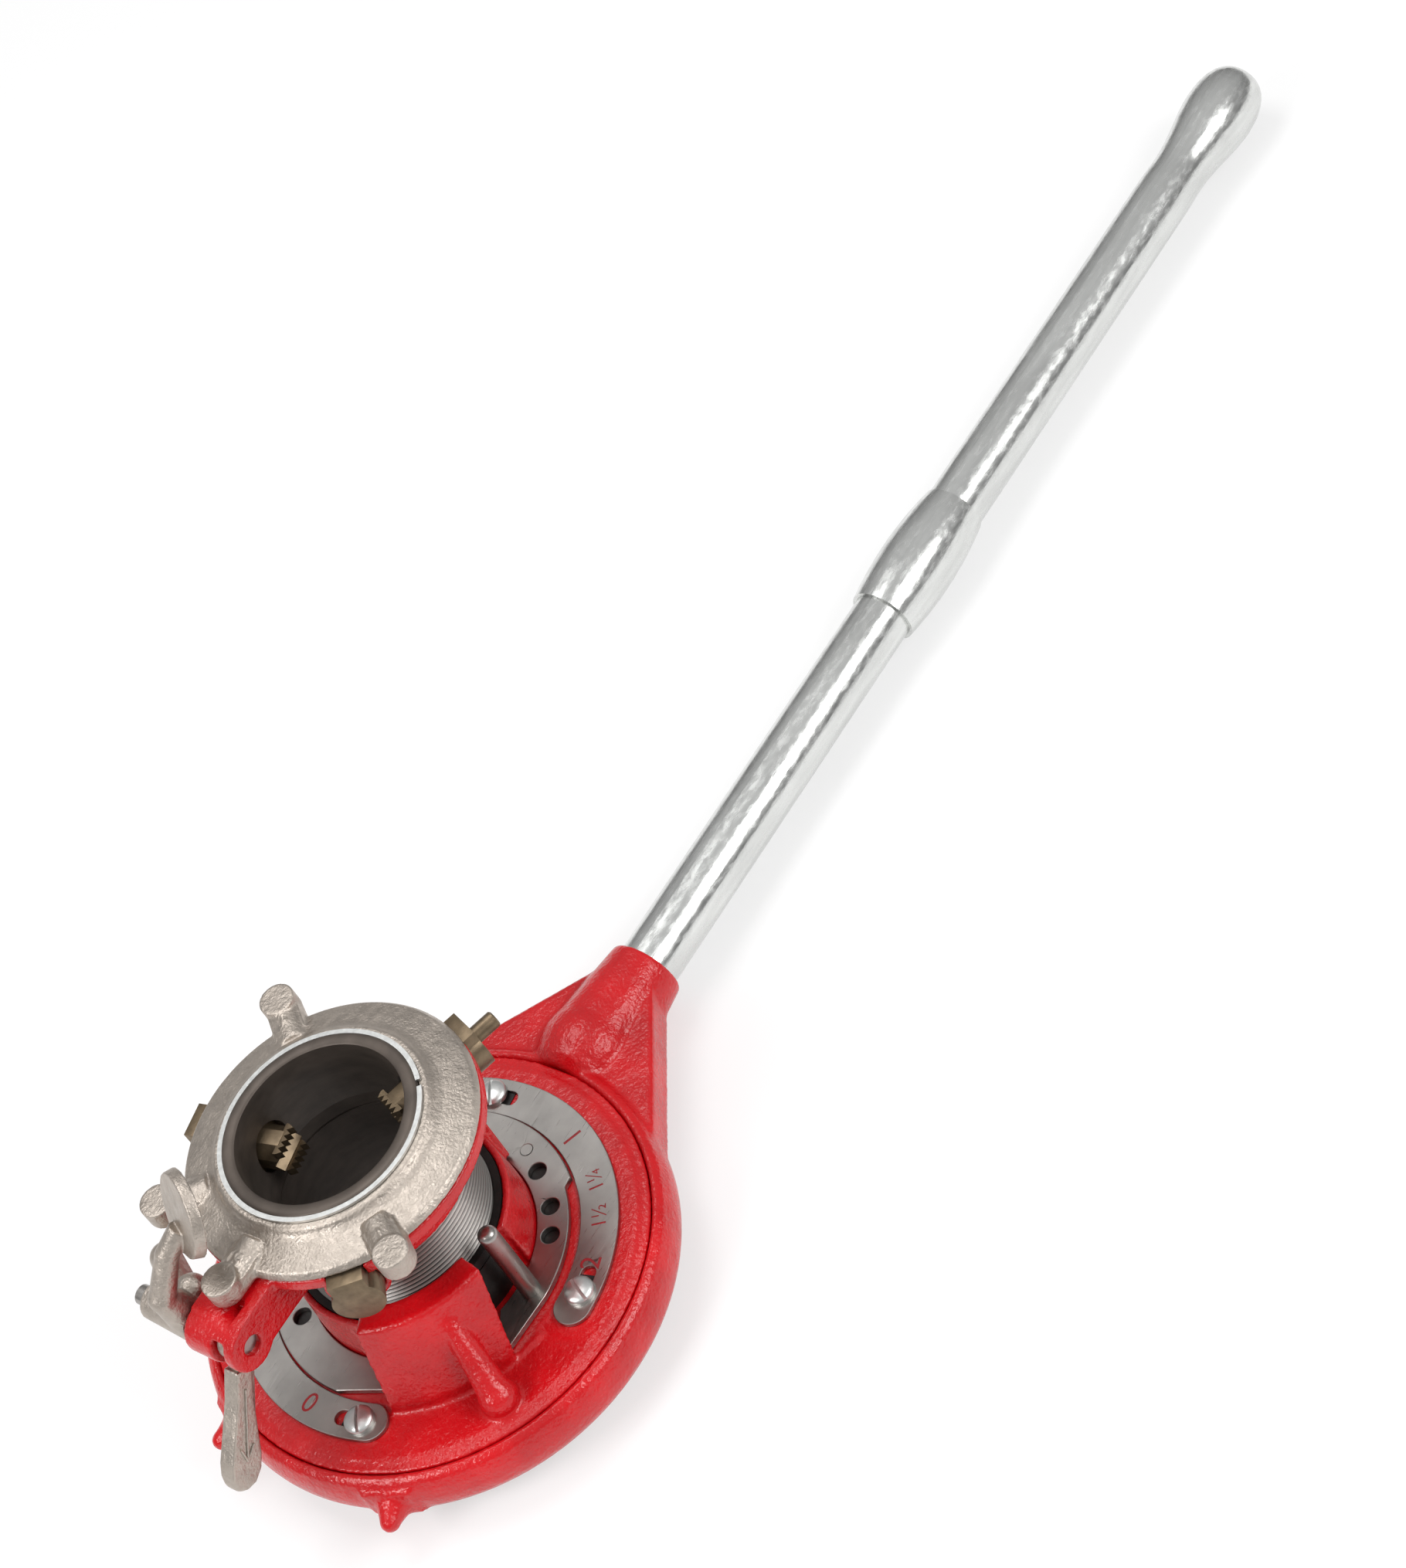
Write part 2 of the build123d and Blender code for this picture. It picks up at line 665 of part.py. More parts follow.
with BuildPart() as handle_coupling:
    with BuildSketch(Plane.XZ) as coupling_profile:
        with BuildLine():
            inner_line = handle_height + tube_radius + seat_gap
            ThreePointArc(
                (coupling_start, handle_height + coupling_end_radius),
                (coupling_middle - 1, handle_height + coupling_radius),
                (coupling_end, handle_height + tube_radius + 0.9),
            )
            Polyline(
                (coupling_end, handle_height + tube_radius + 0.9), (coupling_end, inner_line),
                (coupling_start, inner_line), (coupling_start, handle_height + coupling_end_radius),
            )
        make_face()
    revolve(coupling_profile.sketch, handle_axis)
save(handle_coupling, "handle_coupling")

with BuildPart() as upper_handle_tube:
    upper_start = coupling_middle + tube_gap / 2
    with BuildSketch(Plane.XZ) as upper_profile:
        with BuildLine():
            Line((upper_start, handle_height + tube_radius), (knob_start - 14, handle_height + tube_radius))
            Spline(
                (knob_start - 14, handle_height + tube_radius),
                (knob_start, handle_height + tube_radius - 0.4),
                (knob_start + 18, handle_height + tube_radius + 1.2),
                (knob_widest, handle_height + knob_radius),
                (handle_end - 5, handle_height + knob_radius * 0.76), (handle_end, handle_height),
                tangents=((1, 0), (0, -1)),
            )
            Polyline(
                (handle_end, handle_height), (handle_end - 4, handle_height),
                (knob_start, handle_height + tube_bore),
                (upper_start, handle_height + tube_bore),
                (upper_start, handle_height + tube_radius),
            )
        make_face()
    revolve(upper_profile.sketch, handle_axis)
save(upper_handle_tube, "upper_handle_tube")

# ---------------------------------------------------------------- pawl
with BuildPart() as pawl:
    radial_rod(pawl_angle, handle_height, pawl_radius, ring_bore_radius + 1, pawl_shoulder)
    radial_rod(pawl_angle, handle_height, pawl_stem_radius, pawl_shoulder, pawl_knob_start + 1)
    tip_slope = (tooth_mouth_width - tooth_root_width) / (drum_radius + 1 - tooth_root_radius)
    tip_half = tooth_root_width / 2 + tip_slope / 2 * (pawl_tooth_tip - tooth_root_radius) - 0.5
    neck_half = tip_half + tip_slope / 2 * (ring_bore_radius + 1.5 - pawl_tooth_tip)
    with BuildSketch(Plane.XY.offset(handle_height - 4.5)) as pawl_tooth:
        with BuildLine():
            Polyline(
                (pawl_tooth_tip, -tip_half), (ring_bore_radius + 1.5, -neck_half),
                (ring_bore_radius + 1.5, neck_half), (pawl_tooth_tip, tip_half), close=True,
            )
        make_face()
    tooth_bar = extrude(pawl_tooth.sketch, amount=9, mode=Mode.PRIVATE)
    add(Rot(Z=pawl_angle) * tooth_bar)
save(pawl, "pawl")

with BuildPart() as pawl_cap:
    radial_rod(pawl_angle, handle_height, pawl_radius + slip_gap - seat_gap, pawl_cap_start, pawl_boss_end)
    radial_rod(
        pawl_angle, handle_height, pawl_stem_radius + slip_gap,
        pawl_cap_start - 1, pawl_boss_end + 1, Mode.SUBTRACT,
    )
save(pawl_cap, "pawl_cap")

with BuildPart() as pawl_knob:
    radial_rod(pawl_angle, handle_height, pawl_knob_radius, pawl_knob_start, pawl_knob_end)
    fillet(pawl_knob.edges().filter_by(GeomType.CIRCLE), 1.6)
    radial_rod(
        pawl_angle, handle_height, pawl_stem_radius + seat_gap,
        pawl_knob_start - 1, pawl_knob_start + 1.5, Mode.SUBTRACT,
    )
save(pawl_knob, "pawl_knob")

with BuildPart() as pawl_spring:
    first_coil = pawl_shoulder + slip_gap + spring_wire / 2
    coil_step = (pawl_cap_start - slip_gap - spring_wire / 2 - first_coil) / (spring_coils - 1)
    pawl_axis = Axis((0, 0, handle_height), (*polar(1, pawl_angle), 0))
    for coil in range(spring_coils):
        with BuildSketch(side_plane(pawl_angle)) as wire_section:
            with Locations((first_coil + coil * coil_step, handle_height + spring_coil_radius)):
                Circle(spring_wire / 2)
        revolve(wire_section.sketch, pawl_axis)
save(pawl_spring, "pawl_spring")

# ---------------------------------------------------------------- lead screw and workholder
with BuildPart() as guide_ring:
    guide_bottom = hub_top - 4.5
    ring(lead_screw_radius + seat_gap, nut_seat_radius - slip_gap, guide_bottom, hub_top)
save(guide_ring, "guide_ring")

with BuildPart() as lead_screw:
    groove_count = int((holder_hub_back - lead_screw_bottom) / thread_pitch)
    thread_line = []
    for groove in range(groove_count):
        low = lead_screw_bottom + 2.0 + groove * thread_pitch
        thread_line.append((lead_screw_radius, low))
        thread_line.append((lead_screw_radius - thread_depth, low + thread_pitch / 2))
        thread_line.append((lead_screw_radius, low + thread_pitch - 0.1))
    lip = lead_screw_top
    turn([
        (relief_radius, lead_screw_bottom), (lead_screw_radius, lead_screw_bottom), *thread_line,
        (lead_screw_radius, snap_ring_bottom - seat_gap), (snap_groove_radius, snap_ring_bottom - seat_gap),
        (snap_groove_radius, snap_ring_bottom + snap_ring_thickness + seat_gap),
        (lead_screw_radius - 0.2, snap_ring_bottom + snap_ring_thickness + seat_gap),
        (lead_screw_radius - 0.8, lip - 0.2), (lead_screw_radius - 1.8, lip), (pipe_bore_radius + 1, lip),
        (pipe_bore_radius, lip - 0.6), (pipe_bore_radius, relief_top), (relief_radius, relief_top),
        (relief_radius, bore_groove_height + bore_groove_width / 2),
        (relief_radius + bore_groove_depth, bore_groove_height + bore_groove_width / 2),
        (relief_radius + bore_groove_depth, bore_groove_height - bore_groove_width / 2),
        (relief_radius, bore_groove_height - bore_groove_width / 2),
    ])
    for jaw_angle in jaw_angles:
        radial_rod(jaw_angle, jaw_height, jaw_radius + slip_gap, 20, lead_screw_radius + 5, Mode.SUBTRACT)
save(lead_screw, "lead_screw")

with BuildPart() as snap_ring:
    snap_ring_top = snap_ring_bottom + snap_ring_thickness
    ring(snap_groove_radius + seat_gap, snap_ring_radius, snap_ring_bottom, snap_ring_top)
    radial_bar(
        snap_gap_angle, 3.0, snap_ring_bottom - 1, snap_ring_bottom + 3,
        snap_groove_radius - 2, snap_ring_radius + 2, Mode.SUBTRACT,
    )
save(snap_ring, "snap_ring")

with BuildPart() as workholder_body:
    turn([
        (holder_bore_radius, holder_hub_back), (holder_hub_radius, holder_hub_back),
        (holder_hub_radius + 1.5, flange_back), (flange_radius, flange_back), (flange_radius, flange_front),
        (holder_bore_radius, flange_front),
    ])
    for jaw_angle in jaw_angles:
        radial_rod(jaw_angle, jaw_height, jaw_boss_radius, holder_bore_radius + 1, jaw_boss_end)
    # The clamp ear: an arm from the flange to a cross boss, slotted for the clamp arm.
    ear_bottom = jaw_height - 8.0
    with BuildSketch(Plane.XY.offset(ear_bottom)) as ear_arm:
        with BuildLine():
            Polyline(
                (ear_root_x, ear_y[0]), (ear_x, ear_y[0]), (ear_x, ear_y[1]), (ear_root_x, ear_y[1]),
                close=True,
            )
        make_face()
    extrude(ear_arm.sketch, amount=flange_front - 1.2 - ear_bottom)
    cross_rod(ear_x, jaw_height, ear_radius, ear_y)
    slot_start = ear_x - 12
    with Locations(((slot_start + ear_slot_end) / 2, (ear_slot_y[0] + ear_slot_y[1]) / 2, jaw_height)):
        Box(ear_slot_end - slot_start, ear_slot_y[1] - ear_slot_y[0], 40, mode=Mode.SUBTRACT)
    cross_rod(ear_x, jaw_height, shaft_radius + seat_gap, (ear_y[0] - 1, ear_y[1] + 1), Mode.SUBTRACT)
    ring(0, holder_bore_radius, holder_hub_back - 5, flange_front + 1, Mode.SUBTRACT)
    ring(flange_radius, 120, flange_front, flange_front + 10, Mode.SUBTRACT)
    # Bores and slots for the jaws.
    head_slot_start = jaw_head_start - 6.6
    pin_slot_start = holder_bore_radius - 2
    for jaw_angle in jaw_angles:
        radial_rod(jaw_angle, jaw_height, jaw_radius + slip_gap, pin_slot_start, 90, Mode.SUBTRACT)
        for width, bottom, top, start, end in (
            (jaw_head_width + 1, jaw_height, flange_front + 1, head_slot_start, 66),
            (2 * jaw_pin_radius + 0.6, jaw_height, flange_front + 1, pin_slot_start, 66),
            (22, jaw_height, flange_back, flange_radius + 0.5, 75),
        ):
            radial_bar(jaw_angle, width, bottom, top, start, end, Mode.SUBTRACT)
save(workholder_body, "workholder_body")

# ---------------------------------------------------------------- cam plate and jaws
with BuildPart() as cam_plate:
    turn([
        (cam_plate_bore_radius, cam_plate_back), (flange_radius - 0.4, cam_plate_back),
        (flange_radius, cam_plate_back + 0.6), (58.4, cam_plate_rim), (52.0, 126.2), (47.5, 127.4),
        (45.2, 128.6), (44.0, 130.2), (43.0, 130.8), (cam_plate_bore_radius, 130.8),
    ])
    for lug_angle in lug_angles:
        radial_bar(lug_angle, 13, cam_plate_back, cam_plate_back + 6.0, 52, lug_reach)
    upright(lug_angles, lug_reach, lug_peg_radius, cam_plate_back, lug_top)
    fillet(cam_plate.edges().filter_by(GeomType.CIRCLE).group_by(Axis.Z)[-2], 0.4)
    for jaw_angle in jaw_angles:
        groove = spiral_groove(
            jaw_pin_reach, -jaw_travel_per_radian, -jaw_range[1] - 3, -jaw_range[0] + 3,
            2 * (jaw_pin_radius + slip_gap), cam_plate_back - 1, cam_groove_top,
        )
        add(Rot(Z=jaw_angle) * groove, mode=Mode.SUBTRACT)
save(cam_plate, "cam_plate")

for number, jaw_angle in enumerate(jaw_angles, start=1):
    with BuildPart() as jaw:
        half_tip = jaw_tip_width / 2 + 1
        tip_root = jaw_tip_radius + 2.2
        radial_rod(jaw_angle, jaw_height, jaw_radius, jaw_tip_radius + 8, jaw_end_radius)
        radial_bar(
            jaw_angle, jaw_tip_width, jaw_height - half_tip, jaw_height + half_tip,
            tip_root - 0.2, jaw_tip_radius + 9,
        )
        radial_bar(jaw_angle, jaw_head_width, jaw_height, jaw_head_top, jaw_head_start, jaw_end_radius)
        half_step = half_tip / jaw_serrations
        for step in range(jaw_serrations):
            crest = jaw_height - half_tip + half_step * (2 * step + 1)
            side_slab(jaw_angle, [
                (jaw_tip_radius, crest), (tip_root, crest - half_step), (tip_root, crest + half_step),
            ], jaw_tip_width)
        upright([jaw_angle], jaw_pin_reach, jaw_pin_radius, jaw_height + 5, jaw_pin_top)
        if jaw_angle == stud_angle:
            radial_rod(
                jaw_angle, stud_height, stud_radius + seat_gap,
                stud_start - 0.2, jaw_end_radius + 1, Mode.SUBTRACT,
            )
    save(jaw, f"jaw_{number}")

with BuildPart() as jaw_adjusting_screw:
    radial_rod(stud_angle, stud_height, stud_radius, stud_start, stud_end)
    chamfer(jaw_adjusting_screw.edges().filter_by(GeomType.CIRCLE), 0.6)
save(jaw_adjusting_screw, "jaw_adjusting_screw")

# ---------------------------------------------------------------- clamp shaft, thumb lever and clamp arm
with BuildPart() as clamp_shaft:
    cross_rod(ear_x, jaw_height, shaft_radius, shaft_y)
save(clamp_shaft, "clamp_shaft")

with BuildPart() as shaft_washer:
    cross_rod(ear_x, jaw_height, washer_radius, washer_y)
    cross_rod(ear_x, jaw_height, shaft_radius + seat_gap, (washer_y[0] - 1, washer_y[1] + 1), Mode.SUBTRACT)
save(shaft_washer, "shaft_washer")

with BuildPart() as thumb_lever:
    cross_rod(ear_x, jaw_height, lever_hub_radius, lever_y)
    with BuildLine() as neck_path:
        Spline(
            (ear_x - 2, 24, jaw_height), (-85.5, 23, 124), (-82.0, 20, 136), (-69, 15.5, 145.5),
            (-59.5, 13.5, 152),
        )
    with BuildSketch(Plane(origin=neck_path.line @ 0, z_dir=neck_path.line % 0)) as neck_section:
        Circle(lever_neck_radius)
    sweep(neck_section.sketch, path=neck_path.line)
    paddle_plane = Plane(origin=paddle_center, x_dir=(0, 1, 0), z_dir=(1, 0, 0))
    with BuildSketch(paddle_plane) as paddle:
        Circle(paddle_radius)
    extrude(paddle.sketch, amount=paddle_thickness / 2, both=True)
    cross_rod(ear_x, jaw_height, shaft_radius + slip_gap, (lever_y[0] - 1, lever_y[1] + 1), Mode.SUBTRACT)
save(thumb_lever, "thumb_lever")

with BuildPart() as clamp_arm:
    with BuildSketch(Plane.XZ.offset(-arm_y[1])) as arm_outline:
        with Locations((ear_x, jaw_height)):
            Circle(arm_eye_radius)
        with Locations((arm_end_x, arm_end_z)):
            Circle(arm_end_radius)
        with BuildLine():
            Polyline(
                (ear_x - 5, jaw_height - 4), (arm_end_x - 5.5, arm_end_z + 3),
                (arm_end_x + 5.5, arm_end_z - 3), (ear_x + 3.5, jaw_height - 6), close=True,
            )
        make_face()
    extrude(arm_outline.sketch, amount=arm_y[1] - arm_y[0])
    cross_rod(ear_x, jaw_height, shaft_radius + slip_gap, (arm_y[0] - 1, arm_y[1] + 1), Mode.SUBTRACT)
save(clamp_arm, "clamp_arm")
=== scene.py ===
import math

import bmesh
import bpy
from mathutils import Matrix, Vector


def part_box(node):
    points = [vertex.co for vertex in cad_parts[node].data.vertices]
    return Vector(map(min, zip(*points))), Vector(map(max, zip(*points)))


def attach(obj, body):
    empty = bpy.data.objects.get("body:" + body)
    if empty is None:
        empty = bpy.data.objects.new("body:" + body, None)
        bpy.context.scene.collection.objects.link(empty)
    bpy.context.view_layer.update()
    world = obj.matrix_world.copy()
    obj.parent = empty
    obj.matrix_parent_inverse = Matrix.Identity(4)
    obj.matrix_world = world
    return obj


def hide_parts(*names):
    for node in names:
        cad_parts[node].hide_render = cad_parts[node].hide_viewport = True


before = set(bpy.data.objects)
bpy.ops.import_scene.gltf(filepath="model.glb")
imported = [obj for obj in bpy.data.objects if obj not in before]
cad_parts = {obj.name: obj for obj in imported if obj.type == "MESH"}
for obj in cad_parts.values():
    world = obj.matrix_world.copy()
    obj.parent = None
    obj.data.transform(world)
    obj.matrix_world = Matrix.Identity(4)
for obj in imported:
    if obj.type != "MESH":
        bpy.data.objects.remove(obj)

bl_info = {
    "name": "Ratchet pipe threader",
    "version": (1, 0, 0),
    "blender": (4, 5, 0),
    "location": "3D View > Sidebar > Threader",
    "description": "Dresses the fixed frame of a ratchet pipe threader with its real surfaces",
    "category": "Object",
}

MM = 0.001
UP = Vector((0, 0, 1))
QUARTER = math.pi / 2
SCALE_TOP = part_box("scale_plate")[1].z / MM
SCREW_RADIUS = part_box("lead_screw")[1].x / MM
HANDLE_HEIGHT = 21.4
JAW_HEIGHT = 108
SPLIT_HEIGHT = 0.0300  # where the die head's skinned face meets its machined drum


# ---------------------------------------------------------------- colours, nodes and meshes
def linear(code):
    """An sRGB hex colour as the linear values that Blender works in."""
    parts = [int(code[i:i + 2], 16) / 255 for i in (1, 3, 5)]
    return tuple(c / 12.92 if c <= 0.04045 else ((c + 0.055) / 1.055) ** 2.4 for c in parts)


def add_node(tree, kind, inputs=None, links=None, **settings):
    """Add a node, set its settings and inputs, and link {input: output socket} into it."""
    node = tree.nodes.new(kind)
    for name, value in settings.items():
        setattr(node, name, value)
    for name, value in (inputs or {}).items():
        node.inputs[name].default_value = value
    for name, socket in (links or {}).items():
        tree.links.new(socket, node.inputs[name])
    return node


def collection_add(obj):
    bpy.context.scene.collection.objects.link(obj)
    return obj


def bake(obj):
    """Make what the modifiers give the piece's own plain mesh."""
    bpy.context.view_layer.update()
    graph = bpy.context.evaluated_depsgraph_get()
    mesh = bpy.data.meshes.new_from_object(obj.evaluated_get(graph))
    obj.modifiers.clear()
    obj.data = mesh
    mesh.name = obj.name
    return obj


def piece_from(name, bm):
    """A new object from a bmesh, with its normals outwards."""
    bmesh.ops.remove_doubles(bm, verts=bm.verts, dist=1e-6)
    bmesh.ops.recalc_face_normals(bm, faces=bm.faces)
    mesh = bpy.data.meshes.new(name)
    bm.to_mesh(mesh)
    bm.free()
    return collection_add(bpy.data.objects.new(name, mesh))


def copy_of(node, name):
    """A welded copy of a CAD node's mesh, ready to be worked on."""
    bm = bmesh.new()
    bm.from_mesh(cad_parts[node].data)
    bmesh.ops.remove_doubles(bm, verts=bm.verts, dist=2e-6)
    bmesh.ops.dissolve_degenerate(bm, edges=bm.edges, dist=1e-6)
    mesh = bpy.data.meshes.new(name)
    bm.to_mesh(mesh)
    bm.free()
    return collection_add(bpy.data.objects.new(name, mesh))


def slice_off(obj, height, keep_above):
    """Cut a piece level at a height in metres and leave it closed."""
    level = height / MM
    low, high = (-500, level) if keep_above else (level, 500)
    cut(obj, block("waste", (-500, -500, low), (900, 500, high)))


def merge(obj, *others):
    """Put other shapes' faces into a piece and drop the others."""
    bm = bmesh.new()
    bm.from_mesh(obj.data)
    for other in others:
        bm.from_mesh(other.data)
        bpy.data.objects.remove(other)
    bm.to_mesh(obj.data)
    bm.free()
    return obj


def cut(obj, cutter, operation="DIFFERENCE"):
    """Cut one closed shape with another and drop the cutter."""
    boolean = obj.modifiers.new("Cut", "BOOLEAN")
    boolean.operation = operation
    boolean.solver = "MANIFOLD"
    boolean.object = cutter
    bake(obj)
    bpy.data.objects.remove(cutter)
    return obj


def revolve(name, outline, steps=160):
    """Turn (radius, height) points in millimetres about Z."""
    bm = bmesh.new()
    rings = []
    for step in range(steps):
        angle = 2 * math.pi * step / steps
        ring = []
        for radius, height in outline:
            point = (radius * math.cos(angle), radius * math.sin(angle), height)
            ring.append(bm.verts.new(Vector(point) * MM))
        rings.append(ring)
    count = len(outline)
    for step in range(steps):
        this, following = rings[step], rings[(step + 1) % steps]
        for n in range(count):
            m = (n + 1) % count
            if outline[n][0] == 0 and outline[m][0] == 0:
                continue
            bm.faces.new((this[n], following[n], following[m], this[m]))
    return piece_from(name, bm)


def rod(name, start, end, radius, end_radius=None, steps=48):
    """A round bar between two points in millimetres."""
    a, b = Vector(start) * MM, Vector(end) * MM
    bm = bmesh.new()
    bmesh.ops.create_cone(
        bm, cap_ends=True, segments=steps, radius1=radius * MM,
        radius2=(radius if end_radius is None else end_radius) * MM, depth=(b - a).length,
    )
    turn = (b - a).to_track_quat("Z", "Y").to_matrix().to_4x4()
    bm.transform(Matrix.Translation((a + b) / 2) @ turn)
    return piece_from(name, bm)


def ball(name, center, radius, stretch=(1, 1, 1)):
    """A sphere, or one that is stretched along each axis, in millimetres."""
    bm = bmesh.new()
    bmesh.ops.create_uvsphere(bm, u_segments=32, v_segments=20, radius=radius * MM)
    bm.transform(Matrix.Translation(Vector(center) * MM) @ Matrix.Diagonal((*stretch, 1)))
    return piece_from(name, bm)


def block(name, corner_low, corner_high, place=None):
    """A box between two corners in millimetres, placed by a matrix."""
    low, high = Vector(corner_low) * MM, Vector(corner_high) * MM
    bm = bmesh.new()
    bmesh.ops.create_cube(bm, size=1)
    bm.transform(Matrix.Translation((low + high) / 2) @ Matrix.Diagonal((*(high - low), 1)))
    if place:
        bm.transform(place)
    return piece_from(name, bm)


def prism(name, points, bottom, top, place=None):
    """A straight-sided solid on a closed outline of (x, y) points in millimetres."""
    bm = bmesh.new()
    base = bm.faces.new([bm.verts.new(Vector((x, y, bottom)) * MM) for x, y in points])
    lifted = bmesh.ops.extrude_face_region(bm, geom=[base])
    moved = [item for item in lifted["geom"] if isinstance(item, bmesh.types.BMVert)]
    bmesh.ops.translate(bm, verts=moved, vec=UP * (top - bottom) * MM)
    if place:
        bm.transform(place)
    return piece_from(name, bm)


def polar(reach, angle):
    """A point in millimetres at a reach and an angle in degrees."""
    return reach * math.cos(math.radians(angle)), reach * math.sin(math.radians(angle))


def radial_frame(angle, height):
    """A matrix whose X runs outwards at an angle, at a height in millimetres."""
    return Matrix.Translation((0, 0, height * MM)) @ Matrix.Rotation(math.radians(angle), 4, "Z")


def at_angle(angle, *points):
    """Points given outwards, sideways and up in millimetres, turned to an angle."""
    place = radial_frame(angle, 0)
    return [place @ (Vector(point) * MM) / MM for point in points]


def skin(obj, voxel, rounds, zones=()):
    """Skin overlapping shapes as one casting and round its corners; zones are (test, more rounds)."""
    remesh = obj.modifiers.new("Skin", "REMESH")
    remesh.mode = "VOXEL"
    remesh.voxel_size = voxel
    bake(obj)
    for test, times in ((None, rounds), *zones):
        smooth = obj.modifiers.new("Round", "SMOOTH")
        smooth.factor = 0.5
        smooth.iterations = times
        if test:
            zone = obj.vertex_groups.new(name="zone")
            zone.add([v.index for v in obj.data.vertices if test(v.co / MM)], 1.0, "REPLACE")
            smooth.vertex_group = zone.name
        bake(obj)
        obj.vertex_groups.clear()
    obj.data.shade_smooth()
    return obj


def ease_edges(obj, width, sharp=30, segments=2):
    """Break a machined piece's edges and shade it smooth between them."""
    bevel = obj.modifiers.new("Edge", "BEVEL")
    bevel.limit_method = "ANGLE"
    bevel.angle_limit = math.radians(sharp)
    bevel.width = width
    bevel.segments = segments
    bevel.use_clamp_overlap = True
    bake(obj)
    return shade(obj, sharp)


def shade(obj, sharp=30):
    obj.data.shade_smooth()
    obj.data.set_sharp_from_angle(angle=math.radians(sharp))
    return obj


def numeral(name, words, size, thickness, place):
    """Characters as a closed solid, centred, placed by a matrix; size in millimetres."""
    curve = bpy.data.curves.new(name, "FONT")
    curve.body = words
    curve.size = size * MM
    curve.extrude = thickness / 2 * MM
    curve.align_x = "CENTER"
    curve.align_y = "CENTER"
    curve.resolution_u = 4
    text = collection_add(bpy.data.objects.new(name, curve))
    graph = bpy.context.evaluated_depsgraph_get()
    bm = bmesh.new()
    bm.from_mesh(text.evaluated_get(graph).to_mesh())
    text.evaluated_get(graph).to_mesh_clear()
    bpy.data.objects.remove(text)
    bmesh.ops.remove_doubles(bm, verts=bm.verts, dist=1e-6)
    bm.transform(place)
    return piece_from(name, bm)


def done(obj, finish, body, slot, *nodes):
    """Give a piece its material, its body and the CAD nodes that it stands for; the slot is not used."""
    obj.data.materials.clear()
    obj.data.materials.append(bpy.data.materials[finish])
    if nodes:
        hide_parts(*nodes)
    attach(obj, body)
    return obj


def repaint(finish, *nodes):
    """Give CAD nodes whose shape stays a better material."""
    for node in nodes:
        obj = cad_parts[node]
        for n in range(len(obj.material_slots)):
            obj.material_slots[n].material = bpy.data.materials[finish]


# ---------------------------------------------------------------- settings
class ThreaderColours(bpy.types.PropertyGroup):
    enamel: bpy.props.FloatVectorProperty(
        name="Enamel", description="Colour of the enamelled castings", subtype="COLOR",
        min=0, max=1, default=linear("#C00D15"))
    nickel: bpy.props.FloatVectorProperty(
        name="Nickel", description="Colour of the nickel-plated castings", subtype="COLOR",
        min=0, max=1, default=linear("#B8AEA4"))
    zinc: bpy.props.FloatVectorProperty(
        name="Zinc", description="Colour of the zinc-plated tube and screws", subtype="COLOR",
        min=0, max=1, default=linear("#D9DAD8"))
    steel: bpy.props.FloatVectorProperty(
        name="Ground steel", description="Colour of the ground plates", subtype="COLOR",
        min=0, max=1, default=linear("#A5A19D"))
    dark_steel: bpy.props.FloatVectorProperty(
        name="Turned steel", description="Colour of the lead screw's bore and lip", subtype="COLOR",
        min=0, max=1, default=linear("#5C534C"))
    oxide: bpy.props.FloatVectorProperty(
        name="Oxide", description="Colour of the blackened jaws and dies", subtype="COLOR",
        min=0, max=1, default=linear("#786853"))
    bronze: bpy.props.FloatVectorProperty(
        name="Bronze", description="Colour of the nut and bushes", subtype="COLOR",
        min=0, max=1, default=linear("#B39A72"))
    numerals: bpy.props.FloatVectorProperty(
        name="Numerals", description="Paint in the scale's numerals", subtype="COLOR",
        min=0, max=1, default=linear("#8E1018"))


class ThreaderSizes(bpy.types.PropertyGroup):
    ring_voxel: bpy.props.FloatProperty(
        name="Ring skin", description="Grain of the skin on the large castings",
        default=0.0009, unit="LENGTH")
    fine_voxel: bpy.props.FloatProperty(
        name="Fine skin", description="Grain of the skin on the small castings",
        default=0.00045, unit="LENGTH")
    edge: bpy.props.FloatProperty(
        name="Machined edge", description="Width of the broken edges on machined pieces",
        default=0.0003, unit="LENGTH")
    thread_pitch: bpy.props.FloatProperty(
        name="Thread pitch", description="Pitch of the lead screw", default=0.0022087, unit="LENGTH")
    thread_depth: bpy.props.FloatProperty(
        name="Thread depth", description="Depth of the lead screw's thread", default=0.0012, unit="LENGTH")
    screw_head: bpy.props.FloatProperty(
        name="Screw head", description="Radius of the scale screws' heads", default=0.0061, unit="LENGTH")
    numeral_height: bpy.props.FloatProperty(
        name="Numeral height", description="Height of the scale's numerals in millimetres", default=12.0)


# ---------------------------------------------------------------- materials
def surface(name, colour, metallic, roughness):
    """A material with its shader, and the Object coordinates that its patterns read."""
    material = bpy.data.materials.new(name)
    material.use_nodes = True
    tree = material.node_tree
    shader = tree.nodes["Principled BSDF"]
    shader.inputs["Base Color"].default_value = (*colour, 1)
    shader.inputs["Metallic"].default_value = metallic
    shader.inputs["Roughness"].default_value = roughness
    place = add_node(tree, "ShaderNodeTexCoord").outputs["Object"]
    return tree, shader, place


